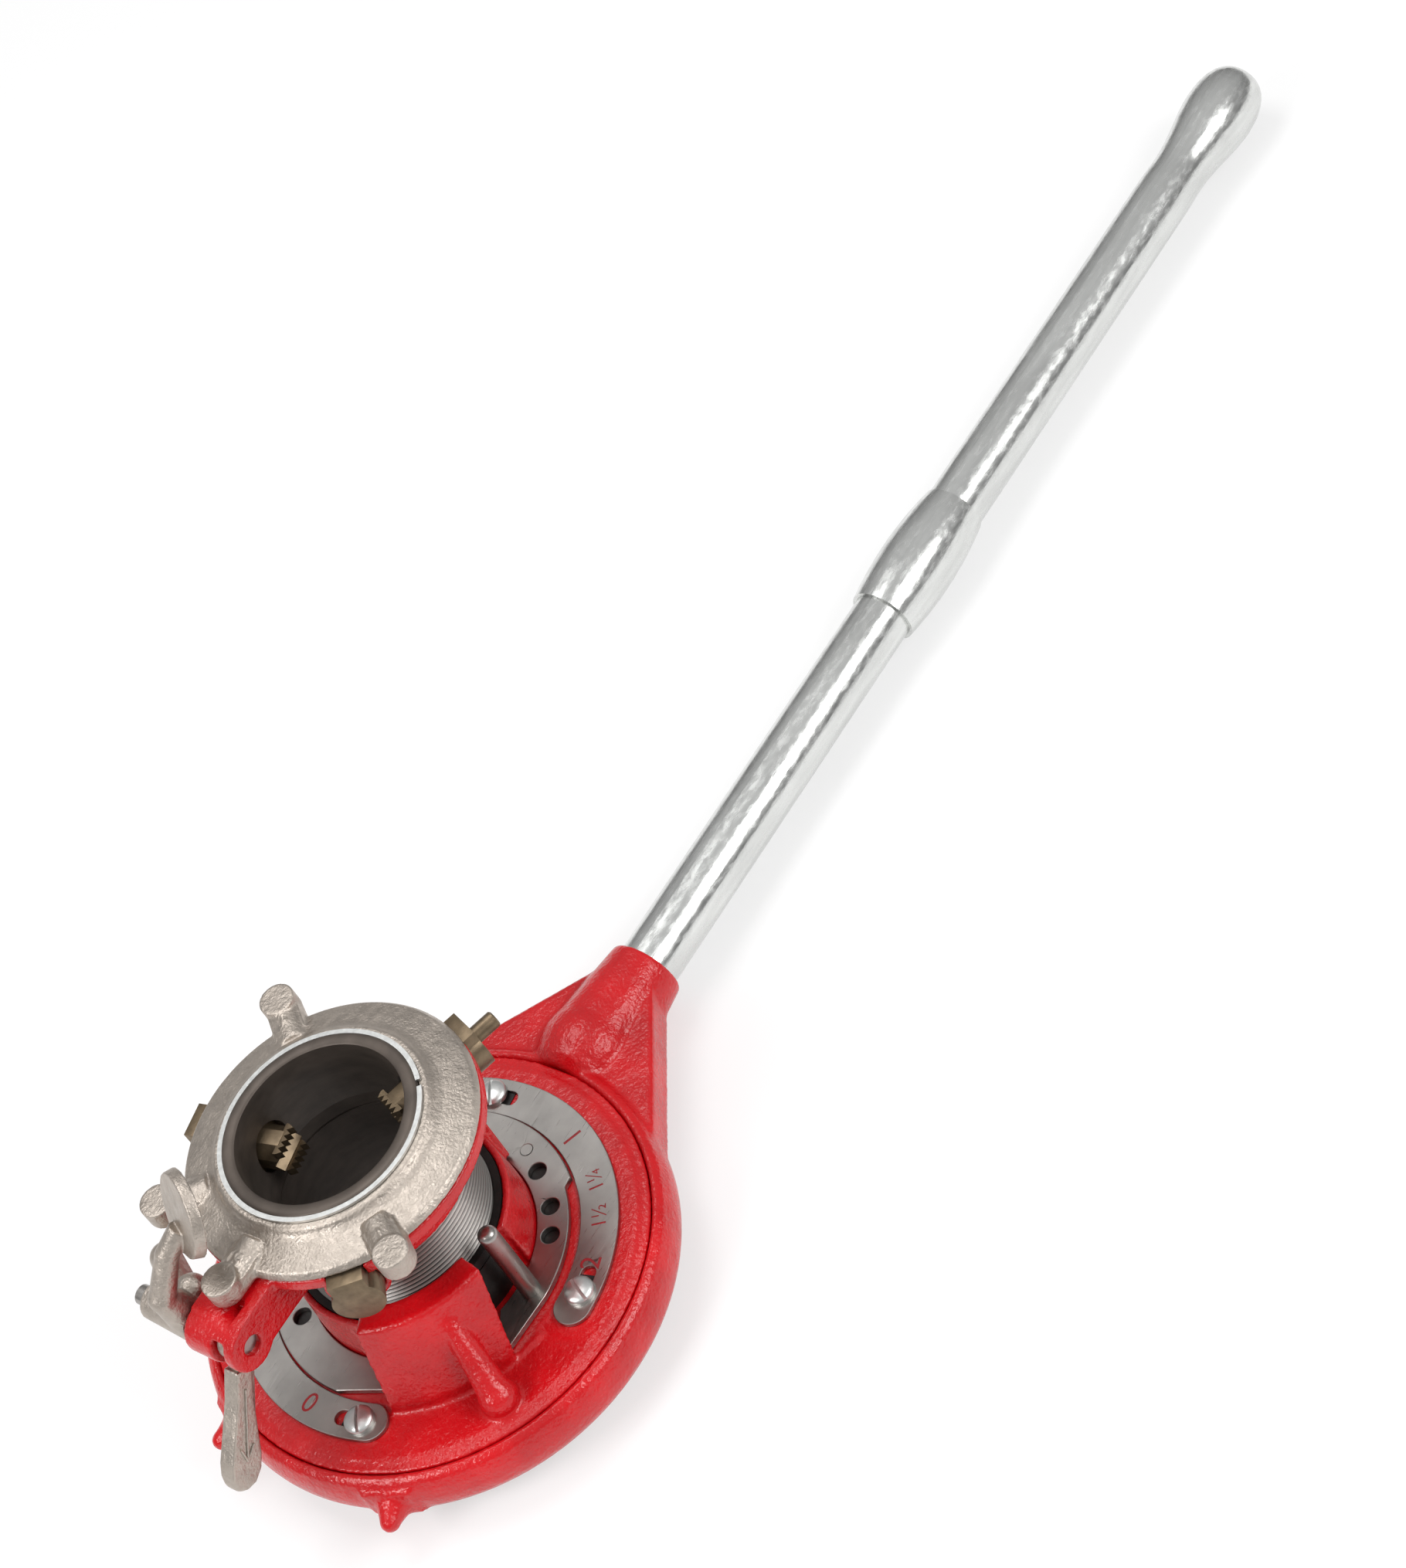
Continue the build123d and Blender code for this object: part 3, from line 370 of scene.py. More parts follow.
def mottle(tree, place, size, low, high, detail=4.0, stretch=(1, 1, 1)):
    """Noise at a real size in millimetres, spread between two values."""
    spread = add_node(
        tree, "ShaderNodeMapping", {"Scale": stretch}, {"Vector": place}).outputs["Vector"]
    noise = add_node(
        tree, "ShaderNodeTexNoise", {"Scale": 1000 / size, "Detail": detail}, {"Vector": spread})
    ramp = add_node(
        tree, "ShaderNodeMapRange",
        {"From Min": 0.3, "From Max": 0.7, "To Min": low, "To Max": high}, {"Value": noise.outputs["Fac"]})
    return ramp.outputs["Result"]


def tint(tree, shader, amount, first, second):
    """Let the base colour wander between two colours."""
    blend = add_node(
        tree, "ShaderNodeMix", {"A": (*first, 1), "B": (*second, 1)}, data_type="RGBA")
    tree.links.new(amount, blend.inputs["Factor"])
    tree.links.new(blend.outputs["Result"], shader.inputs["Base Color"])
    return blend


def relief(tree, shader, height, distance, strength=1.0):
    """Raise the surface by a height; distance in millimetres. Reliefs stack."""
    bump = add_node(
        tree, "ShaderNodeBump", {"Distance": distance * MM, "Strength": strength}, {"Height": height})
    below = shader.inputs["Normal"].links
    if below:
        tree.links.new(below[0].from_socket, bump.inputs["Normal"])
    tree.links.new(bump.outputs["Normal"], shader.inputs["Normal"])


def shift(colour, factor):
    return tuple(min(1.0, c * factor) for c in colour)


def make_materials(colours):
    """Every finish of the threader."""
    # Baked enamel, sprayed over a sand casting: glossy and deep, with the sand's grain under it.
    tree, shader, place = surface("enamel_on_sand_casting", colours.enamel, 0.0, 0.18)
    tint(
        tree, shader, mottle(tree, place, 22, 0, 1),
        shift(colours.enamel, 0.85), shift(colours.enamel, 1.15))
    tree.links.new(mottle(tree, place, 5, 0.15, 0.28), shader.inputs["Roughness"])
    relief(tree, shader, mottle(tree, place, 7, 0, 1, 2), 0.22)
    relief(tree, shader, mottle(tree, place, 1.5, 0, 1, 3), 0.16)

    # Nickel plate on a cast surface: warm, satin, and finely pitted.
    tree, shader, place = surface("nickel_plated_casting", colours.nickel, 1.0, 0.44)
    tint(
        tree, shader, mottle(tree, place, 9, 0, 1),
        shift(colours.nickel, 0.86), shift(colours.nickel, 1.06))
    tree.links.new(mottle(tree, place, 3, 0.38, 0.54), shader.inputs["Roughness"])
    relief(tree, shader, mottle(tree, place, 5, 0, 1, 2), 0.16)
    relief(tree, shader, mottle(tree, place, 1.1, 0, 1, 3), 0.12)

    # Bright zinc on drawn tube: mirror-like, with draw marks along it and specks of spangle.
    tree, shader, place = surface("zinc_plated_tube", colours.zinc, 1.0, 0.2)
    streaks = mottle(tree, place, 6, 0, 1, 5, (0.12, 1, 1))
    tint(tree, shader, streaks, shift(colours.zinc, 0.86), shift(colours.zinc, 1.1))
    tree.links.new(mottle(tree, place, 1.8, 0.13, 0.34, 5, (0.35, 1, 1)), shader.inputs["Roughness"])
    relief(tree, shader, mottle(tree, place, 2.4, 0, 1, 5, (0.2, 1, 1)), 0.035)

    # Zinc on screws and small turned pieces: pale and slightly milky.
    tree, shader, place = surface("zinc_plated_steel", colours.zinc, 1.0, 0.38)
    tint(tree, shader, mottle(tree, place, 2.5, 0, 1), shift(colours.zinc, 0.85), shift(colours.zinc, 1.05))
    relief(tree, shader, mottle(tree, place, 1.2, 0, 1), 0.02)

    # Surface-ground plate: even grey, with fine grinding lines along X.
    tree, shader, place = surface("ground_steel_plate", colours.steel, 1.0, 0.32)
    tint(
        tree, shader, mottle(tree, place, 14, 0, 1, 5),
        shift(colours.steel, 0.84), shift(colours.steel, 1.08))
    lines = mottle(tree, place, 0.5, 0.27, 0.4, 3, (0.05, 1, 1))
    tree.links.new(lines, shader.inputs["Roughness"])
    relief(tree, shader, mottle(tree, place, 0.6, 0, 1, 2, (0.06, 1, 1)), 0.012)

    # Oiled, turned steel: brown-grey, with turning marks that run round the bore.
    tree, shader, place = surface("oiled_turned_steel", colours.dark_steel, 0.55, 0.5)
    tint(tree, shader, mottle(tree, place, 11, 0, 1, 5, (1, 1, 2)),
         shift(colours.dark_steel, 0.72), shift(colours.dark_steel, 1.12))
    relief(tree, shader, mottle(tree, place, 0.5, 0, 1, 2, (0.04, 0.04, 1)), 0.012)

    # Cut thread: painted shade runs from the plain steel colour at the crests to near black in the roots.
    tree, shader, place = surface("cut_steel_thread", shift(colours.steel, 0.8), 1.0, 0.36)
    flat = add_node(tree, "ShaderNodeVectorMath", {1: (1, 1, 0)}, {0: place}, operation="MULTIPLY")
    reach = add_node(tree, "ShaderNodeVectorMath", links={0: flat.outputs["Vector"]}, operation="LENGTH")
    root_shade_fade = add_node(
        tree, "ShaderNodeMapRange", {"From Min": 0.0386, "From Max": 0.0396, "To Min": 0.0, "To Max": 1.0},
        {"Value": reach.outputs["Value"]})
    tint(tree, shader, root_shade_fade.outputs["Result"], shift(colours.steel, 0.12), shift(colours.steel, 0.95))
    relief(tree, shader, mottle(tree, place, 2.0, 0, 1, 3), 0.02)

    # Nearly black, with a dull film: painted shade under the slots and holes, and the dark finish of the lead
    # nut and guide ring.
    tree, shader, place = surface("painted_shade_and_dark_iron", shift(colours.dark_steel, 0.06), 0.0, 0.55)
    tint(
        tree, shader, mottle(tree, place, 3, 0, 1),
        shift(colours.dark_steel, 0.03), shift(colours.dark_steel, 0.1))
    relief(tree, shader, mottle(tree, place, 1.0, 0, 1), 0.03)

    # Black oxide on hardened steel: a thin brown-black film that shows the metal at its edges.
    tree, shader, place = surface("black_oxide_steel", colours.oxide, 0.8, 0.4)
    tint(tree, shader, mottle(tree, place, 4, 0, 1), shift(colours.oxide, 0.7), shift(colours.oxide, 1.15))
    relief(tree, shader, mottle(tree, place, 0.7, 0, 1, 2, (0.2, 1, 1)), 0.012)

    # Bearing bronze: brown-gold and dull.
    tree, shader, place = surface("turned_bronze", colours.bronze, 1.0, 0.35)
    tint(
        tree, shader, mottle(tree, place, 3, 0, 1),
        shift(colours.bronze, 0.85), shift(colours.bronze, 1.05))

    # Paint wiped into the stamped numerals: dull and uneven.
    tree, shader, place = surface("numeral_paint", colours.numerals, 0.0, 0.5)
    tint(
        tree, shader, mottle(tree, place, 1.5, 0, 1),
        shift(colours.numerals, 0.8), shift(colours.numerals, 1.2))


# ---------------------------------------------------------------- geometry node trees
def node_tree(name, sockets):
    """A Geometry Nodes tree with named inputs, and its two end nodes."""
    tree = bpy.data.node_groups.new(name, "GeometryNodeTree")
    tree.interface.new_socket("Geometry", in_out="INPUT", socket_type="NodeSocketGeometry")
    for label, kind in sockets:
        tree.interface.new_socket(label, in_out="INPUT", socket_type=kind)
    tree.interface.new_socket("Geometry", in_out="OUTPUT", socket_type="NodeSocketGeometry")
    return tree, add_node(tree, "NodeGroupInput"), add_node(tree, "NodeGroupOutput")


def close_tree(tree, start, end, geometry):
    """Realise the instances, set the material and pass the result out."""
    real = add_node(tree, "GeometryNodeRealizeInstances", links={"Geometry": geometry})
    painted = add_node(
        tree, "GeometryNodeSetMaterial",
        links={"Geometry": real.outputs["Geometry"], "Material": start.outputs["Material"]})
    tree.links.new(painted.outputs["Geometry"], end.inputs["Geometry"])


def run_tree(obj, tree, values):
    """Run a tree on a piece with its inputs set by identifier, and keep the plain mesh."""
    modifier = obj.modifiers.new(tree.name, "NODES")
    modifier.node_group = tree
    keys = {item.name: item.identifier for item in tree.interface.items_tree if item.in_out == "INPUT"}
    for label, value in values.items():
        modifier[keys[label]] = value
    return bake(obj)


def slotted_screw_tree():
    """Slotted button-head screws, one on each point, each turned by its own seeded angle."""
    tree, start, end = node_tree("slotted_screws", [
        ("Head Radius", "NodeSocketFloat"), ("Head Height", "NodeSocketFloat"),
        ("Rim Height", "NodeSocketFloat"), ("Shank Radius", "NodeSocketFloat"),
        ("Shank Length", "NodeSocketFloat"), ("Slot Width", "NodeSocketFloat"),
        ("Slot Turn", "NodeSocketFloat"), ("Seed", "NodeSocketInt"), ("Material", "NodeSocketMaterial"),
    ])
    given = start.outputs
    rim = add_node(
        tree, "GeometryNodeMeshCylinder", {"Vertices": 64},
        {"Radius": given["Head Radius"], "Depth": given["Rim Height"]})
    half_rim = add_node(
        tree, "ShaderNodeMath", {1: 0.5}, {0: given["Rim Height"]}, operation="MULTIPLY").outputs[0]
    rim_place = add_node(tree, "ShaderNodeCombineXYZ", links={"Z": half_rim}).outputs[0]
    rim_set = add_node(
        tree, "GeometryNodeTransform", links={"Geometry": rim.outputs["Mesh"], "Translation": rim_place})
    dome = add_node(tree, "GeometryNodeMeshUVSphere", {"Segments": 64, "Rings": 24, "Radius": 1.0})
    dome_rise = add_node(
        tree, "ShaderNodeMath", links={0: given["Head Height"], 1: given["Rim Height"]},
        operation="SUBTRACT").outputs[0]
    dome_size = add_node(
        tree, "ShaderNodeCombineXYZ",
        links={"X": given["Head Radius"], "Y": given["Head Radius"], "Z": dome_rise}).outputs[0]
    dome_place = add_node(tree, "ShaderNodeCombineXYZ", links={"Z": given["Rim Height"]}).outputs[0]
    dome_set = add_node(
        tree, "GeometryNodeTransform",
        links={"Geometry": dome.outputs["Mesh"], "Translation": dome_place, "Scale": dome_size})
    shank = add_node(
        tree, "GeometryNodeMeshCylinder", {"Vertices": 32},
        {"Radius": given["Shank Radius"], "Depth": given["Shank Length"]})
    half_shank = add_node(
        tree, "ShaderNodeMath", {1: -0.5}, {0: given["Shank Length"]}, operation="MULTIPLY").outputs[0]
    shank_place = add_node(tree, "ShaderNodeCombineXYZ", links={"Z": half_shank}).outputs[0]
    shank_set = add_node(
        tree, "GeometryNodeTransform", links={"Geometry": shank.outputs["Mesh"], "Translation": shank_place})
    head = add_node(tree, "GeometryNodeMeshBoolean", operation="UNION", solver="EXACT")
    for shape in (rim_set, dome_set, shank_set):
        tree.links.new(shape.outputs["Geometry"], head.inputs["Mesh 2"])
    slot_length = add_node(
        tree, "ShaderNodeMath", {1: 3.0}, {0: given["Head Radius"]}, operation="MULTIPLY").outputs[0]
    slot_size = add_node(
        tree, "ShaderNodeCombineXYZ",
        links={"X": slot_length, "Y": given["Slot Width"], "Z": given["Head Height"]}).outputs[0]
    slot = add_node(tree, "GeometryNodeMeshCube", links={"Size": slot_size})
    slot_place = add_node(tree, "ShaderNodeCombineXYZ", links={"Z": given["Head Height"]}).outputs[0]
    slot_set = add_node(
        tree, "GeometryNodeTransform", links={"Geometry": slot.outputs["Mesh"], "Translation": slot_place})
    slotted = add_node(
        tree, "GeometryNodeMeshBoolean",
        links={"Mesh 1": head.outputs["Mesh"], "Mesh 2": slot_set.outputs["Geometry"]},
        operation="DIFFERENCE", solver="EXACT")
    spread = add_node(
        tree, "FunctionNodeRandomValue", {2: -0.5, 3: 0.5}, {"Seed": given["Seed"]}, data_type="FLOAT")
    turned = add_node(
        tree, "ShaderNodeMath", links={0: spread.outputs[1], 1: given["Slot Turn"]},
        operation="ADD").outputs[0]
    turn = add_node(tree, "ShaderNodeCombineXYZ", links={"Z": turned}).outputs[0]
    rotation = add_node(tree, "FunctionNodeEulerToRotation", links={"Euler": turn}).outputs[0]
    screws = add_node(
        tree, "GeometryNodeInstanceOnPoints",
        links={"Points": given["Geometry"], "Instance": slotted.outputs["Mesh"], "Rotation": rotation})
    close_tree(tree, start, end, screws.outputs["Instances"])
    return tree


def spiral_thread_tree():
    """A thread's ridge: a narrow profile swept up a right-hand spiral."""
    tree, start, end = node_tree("spiral_thread", [
        ("Root Radius", "NodeSocketFloat"), ("Depth", "NodeSocketFloat"), ("Pitch", "NodeSocketFloat"),
        ("Turns", "NodeSocketFloat"), ("Bottom", "NodeSocketFloat"), ("Material", "NodeSocketMaterial"),
    ])
    given = start.outputs
    height = add_node(
        tree, "ShaderNodeMath", links={0: given["Pitch"], 1: given["Turns"]}, operation="MULTIPLY").outputs[0]
    spiral = add_node(
        tree, "GeometryNodeCurveSpiral", {"Resolution": 96},
        {"Rotations": given["Turns"], "Start Radius": given["Root Radius"],
         "End Radius": given["Root Radius"], "Height": height})
    lifted = add_node(tree, "ShaderNodeCombineXYZ", links={"Z": given["Bottom"]}).outputs[0]
    placed = add_node(
        tree, "GeometryNodeTransform", links={"Geometry": spiral.outputs["Curve"], "Translation": lifted})
    upright = add_node(
        tree, "GeometryNodeSetCurveNormal", links={"Curve": placed.outputs["Geometry"]}, mode="Z_UP")
    profile = add_node(tree, "GeometryNodeCurvePrimitiveQuadrilateral", mode="POINTS")
    # The ridge's foot is nearly a pitch wide and its crest a tenth of one; X points in to the axis.
    corners = ((0.1, 0.49), (-1, 0.06), (-1, -0.06), (0.1, -0.49))
    for number, (depth_share, pitch_share) in enumerate(corners, 1):
        out = add_node(
            tree, "ShaderNodeMath", {1: depth_share}, {0: given["Depth"]}, operation="MULTIPLY").outputs[0]
        along = add_node(
            tree, "ShaderNodeMath", {1: pitch_share}, {0: given["Pitch"]}, operation="MULTIPLY").outputs[0]
        corner = add_node(tree, "ShaderNodeCombineXYZ", links={"X": out, "Y": along}).outputs[0]
        tree.links.new(corner, profile.inputs[f"Point {number}"])
    ridge = add_node(
        tree, "GeometryNodeCurveToMesh", {"Fill Caps": True},
        {"Curve": upright.outputs["Curve"], "Profile Curve": profile.outputs["Curve"]})
    both = add_node(tree, "GeometryNodeJoinGeometry")
    tree.links.new(ridge.outputs["Mesh"], both.inputs["Geometry"])
    tree.links.new(given["Geometry"], both.inputs["Geometry"])
    close_tree(tree, start, end, both.outputs["Geometry"])
    return tree


def repeat_tree():
    """A shape repeated at an even step, as teeth, serrations and coils are."""
    tree, start, end = node_tree("even_steps", [
        ("Count", "NodeSocketInt"), ("Step", "NodeSocketVector"), ("Material", "NodeSocketMaterial"),
    ])
    line = add_node(
        tree, "GeometryNodeMeshLine",
        links={"Count": start.outputs["Count"], "Offset": start.outputs["Step"]}, mode="OFFSET")
    copies = add_node(
        tree, "GeometryNodeInstanceOnPoints",
        links={"Points": line.outputs["Mesh"], "Instance": start.outputs["Geometry"]})
    close_tree(tree, start, end, copies.outputs["Instances"])
    return tree


def points_piece(name, points):
    """A mesh of bare points in millimetres, for a tree to stand things on."""
    mesh = bpy.data.meshes.new(name)
    mesh.from_pydata([Vector(p) * MM for p in points], [], [])
    return collection_add(bpy.data.objects.new(name, mesh))


# ---------------------------------------------------------------- operators
class MakeFinishes(bpy.types.Operator):
    """Make the threader's materials"""
    bl_idname = "threader.finishes"
    bl_label = "Finishes"

    def execute(self, context):
        make_materials(context.scene.threader_colours)
        return {"FINISHED"}


class MakeRatchetRing(bpy.types.Operator):
    """Cast the ratchet ring with its handle socket, webs, nubs and pawl boss"""
    bl_idname = "threader.ratchet_ring"
    bl_label = "Ratchet ring"

    def execute(self, context):
        sizes = context.scene.threader_sizes
        ring = copy_of("ratchet_ring", "ratchet_ring_casting")
        for angle in (155, 205):
            place = radial_frame(angle, 0)
            cut(ring, block("nub_room", (99, -20, 10), (125, 20, 34), place))
            spout = at_angle(angle, *((reach, 0, HANDLE_HEIGHT) for reach in (92, 100, 105.3)))
            merge(
                ring, rod("nub_foot", spout[0], spout[1], 12.5, 6.4),
                rod("nub", spout[1], spout[2], 6.4, 4.0), ball("nub_tip", spout[2], 4.1))
        # The socket swells into a round root where it meets the ring.
        merge(ring, ball("socket_root", (108, 0, HANDLE_HEIGHT), 21.0, (1.05, 1, 1)))
        cut(ring, rod("tube_room", (104.6, 0, HANDLE_HEIGHT), (160, 0, HANDLE_HEIGHT), 12.75))
        cut(ring, rod("ring_room", (0, 0, -5), (0, 0, 31), 86.5, steps=256))
        cut(ring, rod("flange_room", (0, 0, 31), (0, 0, 60), 91.9, steps=256))

        pawl_low, pawl_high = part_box("pawl")

        def near_socket(point):
            return point.x > 88 and abs(point.y) < 62

        def nubs(point):
            return point.x < -84 and point.xy.length > 97

        skin(ring, sizes.ring_voxel, 5, ((near_socket, 7), (nubs, 8)))
        # The skin leaves the pawl's bore uneven, so it is bored again.
        axis = (pawl_low.z + pawl_high.z) / 2 / MM
        cut(ring, rod("pawl_room", *at_angle(70, (82, 0, axis), (104.5, 0, axis)), 6.3))
        ring.data.shade_smooth()
        done(ring, "enamel_on_sand_casting", "handle_ring", "red_enamel", "ratchet_ring")
        return {"FINISHED"}


class MakeDieHead(bpy.types.Operator):
    """Cast the die head's face with its shield tower, rib and posts, over the toothed drum"""
    bl_idname = "threader.die_head"
    bl_label = "Die head"

    def execute(self, context):
        sizes = context.scene.threader_sizes
        face = copy_of("die_head_body", "die_head_casting")
        slice_off(face, SPLIT_HEIGHT, True)
        # A round buttress runs down the tower to a ball foot.
        top, heel, foot = at_angle(-120.5, (56.0, 0, 66), (76.0, 0, 42), (78.3, 0, 38.8))
        merge(face, rod("rib", top, heel, 3.8, 6.6), ball("rib_foot", foot, 8.0, (1, 1, 0.95)))

        def tower(point):
            angle = math.degrees(math.atan2(point.y, point.x))
            return -160 < angle < -94 and (point.z > 44 or point.xy.length > 69)

        skin(face, sizes.ring_voxel * 1.02, 4, ((tower, 7),))
        done(face, "enamel_on_sand_casting", "die_head", "red_enamel", "die_head_body")
        drum = copy_of("die_head_body", "die_head_drum")
        slice_off(drum, SPLIT_HEIGHT, False)
        shade(drum)
        done(drum, "enamel_on_sand_casting", "die_head", "red_enamel", "die_head_body")
        repaint("painted_shade_and_dark_iron", "lead_nut", "guide_ring")
        repaint("ground_steel_plate", "cover_plate", "die_carrier", "ring_keeper")
        return {"FINISHED"}


class MakeScalePlate(bpy.types.Operator):
    """Grind the scale plate and stamp its numerals"""
    bl_idname = "threader.scale_plate"
    bl_label = "Scale plate"

    def execute(self, context):
        sizes = context.scene.threader_sizes
        plate = copy_of("scale_plate", "scale_plate_ground")
        ease_edges(plate, sizes.edge)
        paint = []
        for words, angle, scale in (
            ("1", -23, 1), ("1¼", -42, 0.72), ("1½", -55.5, 0.72), ("2", -72, 1), ("0", 175, 1),
        ):
            middle = radial_frame(angle, SCALE_TOP) @ Matrix.Translation((0.0722, 0, 0))
            face = middle @ Matrix.Rotation(QUARTER, 4, "Z")
            size = sizes.numeral_height * scale
            cut(plate, numeral("stamp", words, size, 0.8, face))
            sunk = Matrix.Translation((0, 0, -0.00022)) @ face
            paint.append(numeral("numeral_fill", words, size, 0.3, sunk))
        merge(*paint)
        shade(plate, 12)
        # Thin dark strips under the slots are painted shade: they stand for the unlit room below them.
        painted_shade_pieces = []
        for first, last in ((-83.5, -75.5), (6.5, 19.5), (91.5, 104.5), (188.5, 196)):
            bow = [first + (last - first) * n / 12 for n in range(13)]
            outline = [polar(75.2, a) for a in bow] + [polar(69.2, a) for a in reversed(bow)]
            painted_shade_pieces.append(prism("painted_shade_strip", outline, 35.2, 35.7))
        merge(*painted_shade_pieces)
        done(painted_shade_pieces[0], "painted_shade_and_dark_iron", "die_head", "black_oxide")
        painted_shade_pieces[0].name = "scale_slot_painted_shade"
        done(plate, "ground_steel_plate", "die_head", "ground_steel", "scale_plate")
        done(paint[0], "numeral_paint", "die_head", "red_enamel")
        paint[0].name = "scale_numerals"
        return {"FINISHED"}


class MakeScrews(bpy.types.Operator):
    """Set the slotted screws of the scale plate and the screws under the head"""
    bl_idname = "threader.screws"
    bl_label = "Screws"

    def execute(self, context):
        sizes = context.scene.threader_sizes
        tree = slotted_screw_tree()
        scale = points_piece(
            "scale_plate_screws", [(*polar(72.2, angle), SCALE_TOP) for angle in (-82, 13, 98, 195)])
        run_tree(scale, tree, {
            "Head Radius": sizes.screw_head, "Head Height": 0.0039, "Rim Height": 0.0013,
            "Shank Radius": 0.003, "Shank Length": 0.0095, "Slot Width": 0.0013, "Slot Turn": 0.95,
            "Seed": 4, "Material": bpy.data.materials["zinc_plated_steel"],
        })
        shade(scale, 20)
        done(scale, "zinc_plated_steel", "die_head", "zinc_plate", "scale_screws")
        repaint("zinc_plated_steel", "cover_screws", "keeper_screws")
        return {"FINISHED"}


class MakeSelector(bpy.types.Operator):
    """Grind the selector plate and its pointer pin"""
    bl_idname = "threader.selector"
    bl_label = "Selector"

    def execute(self, context):
        sizes = context.scene.threader_sizes
        plate = copy_of("selector_plate", "selector_plate_ground")
        ease_edges(plate, sizes.edge * 1.3)
        shade(plate, 12)
        done(plate, "ground_steel_plate", "selector", "ground_steel", "selector_plate")
        # A thin dark disc under each hole is painted shade: it stands for the unlit room below it.
        painted_shade_pieces = []
        for angle in (-27.5, -47.4, -61.4, 143.7):
            x, y = polar(53.2, angle)
            painted_shade_pieces.append(rod("painted_shade_disc", (x, y, 36.23), (x, y, 36.37), 4.4))
        merge(*painted_shade_pieces)
        done(painted_shade_pieces[0], "painted_shade_and_dark_iron", "selector", "black_oxide")
        painted_shade_pieces[0].name = "selector_hole_painted_shade"
        repaint("ground_steel_plate", "selector_pin", "drive_pins", "die_cam_ring")
        repaint("black_oxide_steel", "die_1", "die_2", "die_3", "die_4")
        return {"FINISHED"}


class MakeHandle(bpy.types.Operator):
    """Draw the two handle tubes, the coupling and the pawl's pieces"""
    bl_idname = "threader.handle"
    bl_label = "Handle and pawl"

    def execute(self, context):
        repaint("zinc_plated_tube", "lower_handle_tube", "upper_handle_tube", "handle_coupling")
        repaint("ground_steel_plate", "pawl", "pawl_cap", "pawl_knob", "pawl_spring")
        return {"FINISHED"}


class MakeLeadScrew(bpy.types.Operator):
    """Turn the hollow lead screw and cut its spiral thread"""
    bl_idname = "threader.lead_screw"
    bl_label = "Lead screw"

    def execute(self, context):
        sizes = context.scene.threader_sizes
        mouth = copy_of("lead_screw", "lead_screw_mouth")
        slice_off(mouth, 0.0990, True)
        ease_edges(mouth, sizes.edge, 40)
        done(mouth, "oiled_turned_steel", "workholder", "turned_steel", "lead_screw")
        bore, outside = 34.8, SCREW_RADIUS
        root = outside - sizes.thread_depth / MM
        sleeve = revolve("lead_screw_sleeve", [
            (bore, 37), (root, 37), (root, 99), (bore, 99),
            (bore, 92.5), (bore + 0.8, 92.4), (bore + 0.8, 91.6), (bore, 91.5),
        ])
        shade(sleeve)
        done(sleeve, "oiled_turned_steel", "workholder", "turned_steel", "lead_screw")
        thread = points_piece("lead_screw_thread", [])
        run_tree(thread, spiral_thread_tree(), {
            "Root Radius": root * MM, "Depth": sizes.thread_depth, "Pitch": sizes.thread_pitch,
            "Turns": 26.0, "Bottom": 0.0395, "Material": bpy.data.materials["cut_steel_thread"],
        })
        shade(thread)
        done(thread, "cut_steel_thread", "workholder", "turned_steel", "lead_screw")
        repaint("zinc_plated_steel", "snap_ring")
        repaint("turned_bronze", "shaft_washer")
        repaint("ground_steel_plate", "clamp_shaft")
        return {"FINISHED"}


class MakeWorkholder(bpy.types.Operator):
    """Cast the workholder with its jaw bosses and clamp ear"""
    bl_idname = "threader.workholder"
    bl_label = "Workholder"

    def execute(self, context):
        body = copy_of("workholder_body", "workholder_casting")
        # A hood over the ear's slot leaves it open only where the clamp arm swings.
        bow = [math.radians(angle) for angle in range(-60, 131, 10)]
        hood = [(-79 + 10.6 * math.cos(a), 108 + 10.6 * math.sin(a)) for a in bow]
        hood += [(-79 + 8.5 * math.cos(a), 108 + 8.5 * math.sin(a)) for a in reversed(bow)]
        merge(body, prism("ear_hood", hood, 2, 9, Matrix.Rotation(QUARTER, 4, "X")))

        def ear(point):
            return point.x < -56

        skin(body, 0.00066, 4, ((ear, 6),))
        done(body, "enamel_on_sand_casting", "workholder", "red_enamel", "workholder_body")
        return {"FINISHED"}


class MakeCamPlate(bpy.types.Operator):
    """Cast the cam plate with its lugs and raised numerals"""
    bl_idname = "threader.cam_plate"
    bl_label = "Cam plate"

    def execute(self, context):
        sizes = context.scene.threader_sizes
        plate = copy_of("cam_plate", "cam_plate_casting")
        shapes = []
        for words, angle in (("2", 54), ("1½", 138), ("1¼", 181), ("1", 241)):
            # Each lug swells into the plate, and carries its size near the peg.
            place = radial_frame(angle, 0)
            shapes.append(rod("lug_arm", *at_angle(angle, (49, 0, 121.0), (67, 0, 122.6)), 8.0, 7.2))
            face = place @ Matrix.Translation((0.0585, 0, 0.1288)) @ Matrix.Rotation(QUARTER, 4, "Z")
            shapes.append(numeral("raised_size", words, 6.2, 2.4, face))
        merge(plate, *shapes)
        slice_off(plate, 0.1210, True)

        def lug(point):
            return point.xy.length > 55 and point.z < 129.4

        skin(plate, sizes.fine_voxel * 1.2, 3, ((lug, 4),))
        done(plate, "nickel_plated_casting", "cam_plate", "nickel_plate", "cam_plate")
        return {"FINISHED"}


